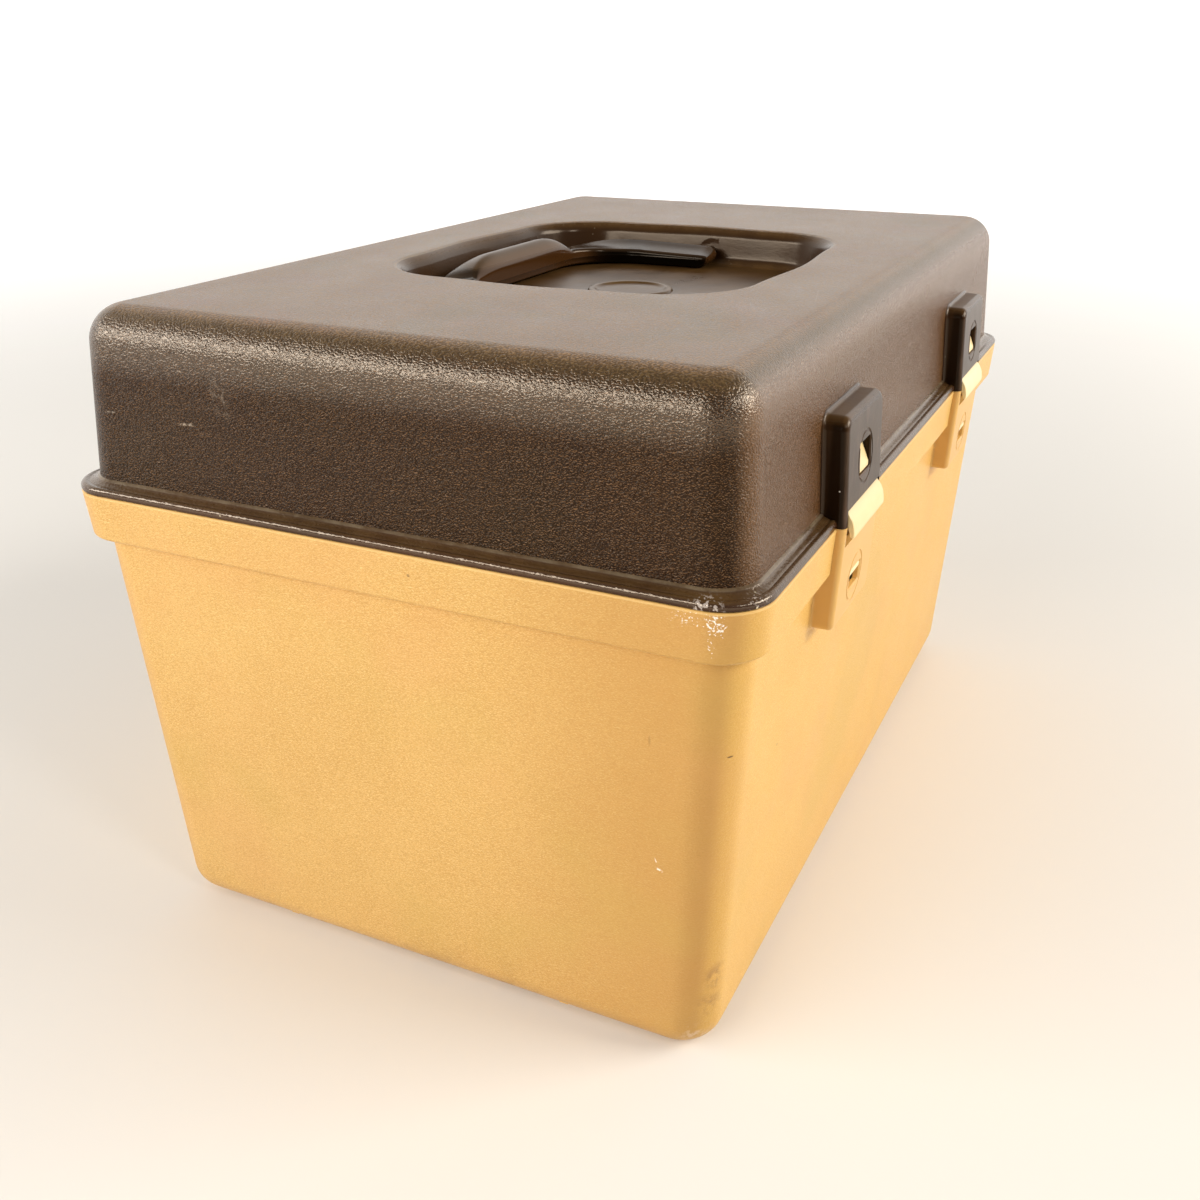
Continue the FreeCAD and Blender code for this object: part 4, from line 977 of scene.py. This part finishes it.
def lid_details(ob):
    add = Shape()

    def wall_y(z):
        return -lid_half(z)[1]
    for sx in (-1, 1):
        cx = sx * LATCH_X
        add.add(housing(cx, ZB, HOUS_TOP, 0.0, 3.6, wall_y, 1.0, 1.9, False, 1))
        pts = [(90.4, ZB), (HINGE_Y - 3.0, ZB)]
        for t in arc(22, 200, 450):
            pts.append((HINGE_Y + KNUCKLE_R * math.cos(t), HINGE_Z + KNUCKLE_R * math.sin(t)))
        pts += [(94.4, HINGE_Z + 3.3), (92.6, HINGE_Z + 4.2), (90.4, HINGE_Z + 5.2)]
        add.prism(pts, cx - KNUCKLE_HW, cx + KNUCKLE_HW, 0, 1)
    # housings of the stub bores under the recess's end walls
    for sx in (-1, 1):
        x0, x1 = sorted((REC_X + sx * 62.2, REC_X + sx * 67.2))
        add.rod(4.6, x0, x1, PIV_Y, PIV_Z, 32, 1)
    combine(ob, add, "UNION", BROWNS)
    # locating rib inside the tub's rim
    rib = Shape()
    top, bot = ZB + 0.3, Z_PART - 3.4
    a0 = rrect(HALF_L - 2.7, HALF_W - 2.7, BAND_R - 2.6, bot + 0.5)
    rings = [rrect(HALF_L - 2.7, HALF_W - 2.7, BAND_R - 2.6, top), a0,
             rrect(HALF_L - 3.1, HALF_W - 3.1, BAND_R - 3.0, bot), rrect(HALF_L - 3.7, HALF_W - 3.7, BAND_R - 3.6, bot),
             rrect(HALF_L - 4.1, HALF_W - 4.1, BAND_R - 4.0, bot + 0.5), rrect(HALF_L - 4.1, HALF_W - 4.1, BAND_R - 4.0, top)]
    ids = [rib.ring(r) for r in rings]
    for i in range(len(ids)):
        rib.bridge(ids[i], ids[(i + 1) % len(ids)], 1)
    rib_ob = to_object("rib", rib, BROWNS)
    gaps = Shape()
    for sx in (-1, 1):
        gaps.box(sx * LATCH_X - 19, sx * LATCH_X + 19, -100, 100, 120, 140, 1)
    combine(rib_ob, gaps, "DIFFERENCE", BROWNS)
    m = ob.modifiers.new("combine", "BOOLEAN")
    m.operation, m.object, m.solver = "UNION", rib_ob, "EXACT"
    settle(ob)
    me = rib_ob.data
    bpy.data.objects.remove(rib_ob)
    bpy.data.meshes.remove(me)
    cut = Shape()
    for sx in (-1, 1):
        cx = sx * LATCH_X
        w = PAD_HW - PAD_SIDE
        cut.prism([(PAD_Y + PAD_FRONT, ZB - 6), (PAD_Y + PAD_FRONT, ZB), (face_y(154.2) + PAD_FRONT, 154.2),
                   (-85.0, 154.2), (-85.0, ZB - 6)], cx - w, cx + w, 0, 1)
    combine(ob, cut, "DIFFERENCE", BROWNS)
    cut = Shape()
    for sx in (-1, 1):
        cx = sx * LATCH_X
        w = PAD_HW - PAD_SIDE
        cut.box(cx - w - 0.01, cx + w + 0.01, -100.5, -94.0, ZB - 1, HOUS_SLOT, 1)
        cut.add(window_cut(cx, *WIN_UP))
        for a, b in ((-EAR_END - 0.4, -KNUCKLE_HW), (KNUCKLE_HW, EAR_END + 0.4)):
            cut.box(cx + a, cx + b, 91.45, 99.5, ZB - 5, 136.4, 1)
        x0, x1 = sorted((REC_X + sx * 57.0, REC_X + sx * 65.5))
        cut.rod(2.05, x0, x1, PIV_Y, PIV_Z, 32, 1)
    cut.m = [1] * len(cut.m)
    combine(ob, cut, "DIFFERENCE", BROWNS)
    cut = Shape()
    for sx in (-1, 1):
        cx = sx * LATCH_X
        cut.add(torus_groove(cx, 0.5 * (WIN_UP[0] + WIN_UP[1])))
        cut.rod(1.31, cx - KNUCKLE_HW - 1, cx + KNUCKLE_HW + 1, HINGE_Y, HINGE_Z, 24, 1)
    cut.m = [1] * len(cut.m)
    combine(ob, cut, "DIFFERENCE", BROWNS)
    smooth(ob)


# ------------------------------------------------------------------ carrying handle
def even_points(pts, n):
    """A smooth curve through control points, cut into n evenly spaced points."""
    p = [Vector(q) for q in pts]
    fine = []
    for i in range(len(p) - 1):
        a, b, c, d = p[max(i - 1, 0)], p[i], p[i + 1], p[min(i + 2, len(p) - 1)]
        for k in range(12):
            t = k / 12
            fine.append(0.5 * ((2 * b) + (c - a) * t + (2 * a - 5 * b + 4 * c - d) * t * t + (3 * b - a - 3 * c + d) * t ** 3))
    fine.append(p[-1])
    run = [0.0]
    for a, b in zip(fine, fine[1:]):
        run.append(run[-1] + (b - a).length)
    out = []
    for i in range(n):
        w = run[-1] * i / (n - 1)
        out.append((float(np.interp(w, run, [q.x for q in fine])), float(np.interp(w, run, [q.y for q in fine]))))
    return out


# grip section over its lower corners: distance from the inner side and height, outer side first
DOME = even_points([(13.2, 168.2), (13.15, 169.4), (12.75, 170.7), (11.9, 172.0), (10.4, 173.3), (8.4, 174.5),
                    (6.6, 175.25), (5.0, 175.65), (3.9, 175.75), (2.9, 175.4), (1.9, 174.55), (1.0, 173.4), (0.35, 172.4),
                    (0.05, 171.5), (0.0, 170.4)], 27)


def handle_section(g, drop, k, lean):
    """Closed section as (u, added mm, z): u runs from 0 at the inner side to 1 at the outer side.
    g 0 is an arm, whose top leans inwards, or outwards where lean is 1; g 1 is the domed grip."""
    z_out, z_in, crease, z0 = 171.75 - drop - 2.5 * lean, 169.85 - drop + 0.7 * lean, 167.7, 164.98
    slope, ri, ro, inn = math.radians(10.0 - 17.0 * lean), 1.35, 1.7, 0.12
    low = []
    for f in (0.12, 0.5, 0.88):
        low.append((f, 0.0, z0))
    for a in arc(5, 270, 360):
        low.append((1.0, -1.6 + 1.6 * math.cos(a), z0 + 1.6 + 1.6 * math.sin(a)))
    top = [(1.0, 0.0, z0 + 2.6)]
    for i in range(9):
        a = (math.pi / 2 + slope) * i / 8
        top.append((1.0, -ro + ro * math.cos(a), z_out - ro + ro * math.sin(a)))
    a1 = math.pi / 2 + slope
    e_in = (inn + ri + ri * math.cos(a1), z_in - ri + ri * math.sin(a1))
    e_out = top[-1]
    for f in (0.15, 0.32, 0.5, 0.68, 0.85):
        dz = e_out[2] + (e_in[1] - e_out[2]) * f - 0.26 * math.sin(math.pi * f)
        top.append((1.0 - f, e_out[1] * (1 - f) + e_in[0] * f, dz))
    for i in range(10):
        a = a1 + (math.radians(178) - a1) * i / 9
        top.append((0.0, inn + ri + ri * math.cos(a), z_in - ri + ri * math.sin(a)))
    z_side = z_in - ri
    top.append((0.0, inn * 0.8, crease + 0.6 * (z_side - crease)))
    top.append((0.0, 0.03, crease + 0.12))
    top = [(u + (w / 13.2 - u) * g, d * (1 - g), z + (h - z) * g) for (u, d, z), (w, h) in zip(top, DOME)]
    end = [(0.0, 0.0, crease), (0.0, 0.10, crease - 0.12), (0.0, 0.45, 0.5 * (crease + z0 + 1.3))]
    for a in arc(5, 180, 270):
        end.append((0.0, 0.8 + 1.3 + 1.3 * math.cos(a), z0 + 1.3 + 1.3 * math.sin(a)))
    return [(u, d, PIV_Z + (z - PIV_Z) * k) for u, d, z in low + top + end]


def build_handle():
    # a station: inner point, outer point, grip, drop, height, squeeze, lean

    def grip(x):
        """1 on the raised pad, rounding down to 0 at its ends."""
        t = min(max((abs(x - 1.1) - 16.0) / 17.0, 0.0), 1.0)
        return (1.0 - t * t) ** 0.85

    def arm_drop(y):
        return 0.55 * min(max((18.0 - y) / 22.0, 0.0), 1.0)
    eye = 3.6
    ci, co = (27.2, 15.4), (27.7, 17.6)
    ri, ro = 20.0, 31.0
    half = []
    # eye end, rounded
    for a in arc(8, 84, 0):
        y = PIV_Y - eye * math.sin(a)
        k = math.cos(a) if math.cos(a) > 0.12 else 0.12
        half.append(((ARM_IN, y), (ARM_OUT, y), 0.0, arm_drop(y), k, 1.3 * (1 - math.cos(a)) ** 1.2, 0.0))
    for y in (-2.0, 3.0, 8.0, 12.0, 15.0):
        half.append(((ARM_IN, y), (ARM_OUT, y), 0.0, arm_drop(y), 1.0, 0.0, 0.0))
    for a in arc(30, 0, 90):
        pi = (ci[0] + ri * math.cos(a), ci[1] + ri * math.sin(a))
        po = (co[0] + ro * math.cos(a), co[1] + ro * math.sin(a))
        q = min(max((a - math.radians(18)) / math.radians(50), 0.0), 1.0)
        half.append((pi, po, grip(pi[0] * 0.5 + po[0] * 0.5), 0.0, 1.0, 0.0, q * q * (3 - 2 * q)))
    right = half
    st = list(right)
    n = 22
    for i in range(1, n):
        x = 27.4 - 54.8 * i / n
        st.append(((x, GRIP_IN), (x, GRIP_OUT), grip(x), 0.0, 1.0, 0.0, 1.0))
    for pi, po, g, d, k, s, q in reversed(right):
        gg = grip(-(pi[0] * 0.5 + po[0] * 0.5))
        st.append(((-pi[0], pi[1]), (-po[0], po[1]), gg if pi[1] > 15.0 else 0.0, d, k, s, q))
    rings = []
    for pi, po, g, drop, k, s, q in st:
        dx, dy = po[0] - pi[0], po[1] - pi[1]
        ln = math.hypot(dx, dy)
        dx, dy = dx / ln, dy / ln
        ring = []
        for u, d, z in handle_section(g, drop, k, q):
            w = u * ln + d
            w = s + (w / ln) * (ln - 2 * s)
            ring.append((REC_X + pi[0] + dx * w, pi[1] + dy * w, z))
        rings.append(ring)
    ob = to_object("carrying_handle", Shape().loft(rings, 0), (HANDLE_MAT,))
    stubs = Shape()
    for sx in (-1, 1):
        ring = []
        for x, r in ((ARM_OUT - 2.0, 2.0), (64.4, 2.0), (64.85, 1.75), (65.0, 1.3)):
            ring.append([(REC_X + sx * x, PIV_Y + r * math.cos(2 * math.pi * i / 28), PIV_Z + r * math.sin(2 * math.pi * i / 28))
                         for i in range(28)])
        stubs.loft(ring, 0)
    combine(ob, stubs, "UNION", (HANDLE_MAT,))
    smooth(ob, 58.0)
    return ob


# ------------------------------------------------------------------ latches
def build_latch(name, cx):
    s = Shape()
    # strip with rounded corners
    pts = []
    hw, z0, z1, r = 14.0, 106.4, 150.6, 2.0
    for sx, sz, q in ((1, 1, 0), (-1, 1, 1), (-1, -1, 2), (1, -1, 3)):
        ccx, ccz = sx * (hw - r), (z1 - r if sz > 0 else z0 + r)
        for a in arc(6, 90 * q, 90 * q + 90):
            pts.append((cx + ccx + r * math.cos(a), ccz + r * math.sin(a)))

    def inset(p, d):
        out = []
        mx, mz = cx, 0.5 * (z0 + z1)
        for x, z in p:
            out.append((x - d * (1 if x > mx else -1), z - d * (1 if z > mz else -1)))
        return out
    b = 0.18
    s.loft([[(x, -93.8, z) for x, z in inset(pts, b)], [(x, -93.8 + b, z) for x, z in pts],
            [(x, -92.3 - b, z) for x, z in pts], [(x, -92.3, z) for x, z in inset(pts, b)]], 0)
    ob = to_object(name, s, (LATCH_MAT,))
    # thumb lip: smooth hooked profile, ends softened
    outer = [(-96.55, 133.3), (-97.0, 133.15), (-97.6, 132.45), (-98.1, 131.7), (-98.5, 130.9), (-98.8, 130.0),
             (-98.98, 129.0), (-99.08, 128.1), (-99.1, 127.3), (-99.02, 126.9), (-98.8, 126.7)]
    inner = [(-98.25, 126.7), (-98.02, 126.9), (-97.95, 127.5), (-97.8, 128.2), (-97.4, 129.3), (-96.7, 130.4),
             (-95.8, 131.2), (-94.6, 131.35)]
    prof = [(-93.4, 133.3)] + outer + inner + [(-93.4, 131.35)]
    cy = sum(p[0] for p in prof) / len(prof)
    cz = sum(p[1] for p in prof) / len(prof)
    lip = Shape()
    rings = []
    for x, f in ((-14.6, 0.86), (-14.45, 0.94), (-14.15, 1.0), (14.15, 1.0), (14.45, 0.94), (14.6, 0.86)):
        rings.append([(cx + x, cy + (y - cy) * f if f < 1 else y, cz + (z - cz) * f if f < 1 else z) for y, z in prof])
    lip.loft(rings, 0)
    lip.prism([(-93.6, 139.5), (-96.2, 139.5), (-96.4, 139.7), (-96.4, 140.5), (-96.3, 140.9), (-93.8, 147.0),
               (-93.6, 147.0)], cx - 4.5, cx + 4.5)
    lip.prism([(-93.6, 113.8), (-96.15, 113.8), (-96.35, 113.6), (-96.35, 112.8), (-96.25, 112.5), (-93.8, 108.9),
               (-93.6, 108.9)], cx - 4.5, cx + 4.5)
    combine(ob, lip, "UNION", (LATCH_MAT,))
    smooth(ob, 34.0)
    return ob


# ------------------------------------------------------------------ put together
tub = build_tub()
tub_details(tub)
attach(tub, "base")
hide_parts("tub")

lid = build_lid()
lid_details(lid)
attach(lid, "lid_body")
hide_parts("lid")

handle = build_handle()
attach(handle, "handle_body")
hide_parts("carry_handle")

for side, sx in (("left", -1), ("right", 1)):
    latch = build_latch("latch_strip_" + side, sx * LATCH_X)
    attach(latch, "latch_%s_body" % side)
    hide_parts("latch_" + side)
    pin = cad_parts["hinge_pin_" + side]
    pin.data.materials.clear()
    pin.data.materials.append(STEEL)
    pin.data.shade_smooth()
    pin.data.set_sharp_from_angle(angle=math.radians(35))

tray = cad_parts["tray"]
tray.data.materials.clear()
tray.data.materials.append(TRAY_MAT)
tray.data.shade_smooth()
tray.data.set_sharp_from_angle(angle=math.radians(32))

# ------------------------------------------------------------------ floor, light, camera
WORLD_BASE, WORLD_FAR = 0.20, 1.35
stage_mat = new_material("stage")
t = Tree(stage_mat)
pale = t.mix(t.noise(3.0, 2.0), (0.80, 0.765, 0.71, 1), (0.82, 0.785, 0.73, 1))
stage_bsdf = t.finish(pale, 0.55, spec=0.2)
# painted light: the floor glows, brighter away from the object
away = t.vec("LENGTH", t.vec("MULTIPLY", t.pos, (1.0, 1.0, 0.0)))
stage_bsdf.inputs["Emission Color"].default_value = (1.0, 0.99, 0.975, 1.0)
t.put(stage_bsdf.inputs["Emission Strength"], t.ramp(away, 0.32, 1.9, 0.0, 0.80))


def plane(name, pts, mat):
    me = bpy.data.meshes.new(name)
    me.from_pydata(pts, [], [(0, 1, 2, 3)])
    me.materials.append(mat)
    ob = bpy.data.objects.new(name, me)
    SCENE.collection.objects.link(ob)
    return ob


plane("floor", [(-60, -60, 0), (60, -60, 0), (60, 60, 0), (-60, 60, 0)], stage_mat)

world = bpy.data.worlds.new("studio")
SCENE.world = world
world.use_nodes = True
wt = world.node_tree
bg = wt.nodes["Background"]


def wnode(kind, op, *vals):
    n = wt.nodes.new(kind)
    n.operation = op
    for sock, v in zip(n.inputs, vals):
        if isinstance(v, bpy.types.NodeSocket):
            wt.links.new(v, sock)
        else:
            sock.default_value = v
    return n


def wramp(v, lo, hi, a, b):
    n = wt.nodes.new("ShaderNodeMapRange")
    n.interpolation_type = "SMOOTHSTEP"
    wt.links.new(v, n.inputs["Value"])
    for key, val in (("From Min", lo), ("From Max", hi), ("To Min", a), ("To Max", b)):
        n.inputs[key].default_value = val
    return n.outputs["Result"]


# a white room: bright behind the object, dim ceiling and dim behind the camera
wdir = wt.nodes.new("ShaderNodeTexCoord").outputs["Generated"]
far = wramp(wnode("ShaderNodeVectorMath", "DOT_PRODUCT", wdir, (0.904, 0.427, 0.0)).outputs["Value"], -0.35, 0.55, 0.0, 1.0)
sep = wt.nodes.new("ShaderNodeSeparateXYZ")
wt.links.new(wdir, sep.inputs[0])
low = wramp(sep.outputs[2], 0.42, 0.80, 1.0, 0.0)
band = wnode("ShaderNodeMath", "MULTIPLY", far, low).outputs[0]
strength = wnode("ShaderNodeMath", "MULTIPLY_ADD", band, WORLD_FAR, WORLD_BASE).outputs[0]
bg.inputs[0].default_value = (1.0, 0.985, 0.965, 1.0)
wt.links.new(strength, bg.inputs[1])


def area(name, loc, target, size, power, colour=(1, 1, 1)):
    li = bpy.data.lights.new(name, "AREA")
    li.shape = "RECTANGLE"
    li.size, li.size_y = size
    li.energy = power
    li.color = colour
    ob = bpy.data.objects.new(name, li)
    SCENE.collection.objects.link(ob)
    d = Vector(target) - Vector(loc)
    ob.location = loc
    ob.rotation_euler = d.to_track_quat("-Z", "Y").to_euler()
    return ob


def soft(name, direction, distance, size, radiance, colour=(1, 1, 1)):
    """Soft box in a direction from the object; its power follows from its radiance."""
    d = Vector(direction).normalized() * distance
    c = Vector((-0.05, -0.02, 0.12))
    return area(name, tuple(c + d), tuple(c), size, radiance * math.pi * size[0] * size[1], colour)


soft("left", (-0.76, 0.52, 0.385), 1.25, (1.6, 0.34), 9.6, (1.0, 0.985, 0.965))
soft("key", (0.30, -0.83, 0.47), 1.5, (0.9, 0.6), 10.6, (1.0, 0.975, 0.93))
soft("window", (-0.34, -0.76, 0.56), 1.5, (0.26, 0.26), 14.0)

cam_data = bpy.data.cameras.new("camera")
cam_data.lens = 37.43
cam_data.sensor_width = 36.0
cam_data.clip_start = 0.01
cam = bpy.data.objects.new("camera", cam_data)
SCENE.collection.objects.link(cam)
az, el, roll = math.radians(-64.53), math.radians(24.03), math.radians(-0.06)
back = Vector((math.sin(az) * math.cos(el), -math.cos(az) * math.cos(el), math.sin(el)))
right = (-back).cross(Vector((0, 0, 1))).normalized()
up = right.cross(-back)
right, up = math.cos(roll) * right + math.sin(roll) * up, -math.sin(roll) * right + math.cos(roll) * up
mw = Matrix((right, up, back)).transposed().to_4x4()
mw.translation = Vector((-0.36488, -0.16421, 0.23559))
cam.matrix_world = mw
SCENE.camera = cam
SCENE.view_settings.view_transform = "Standard"
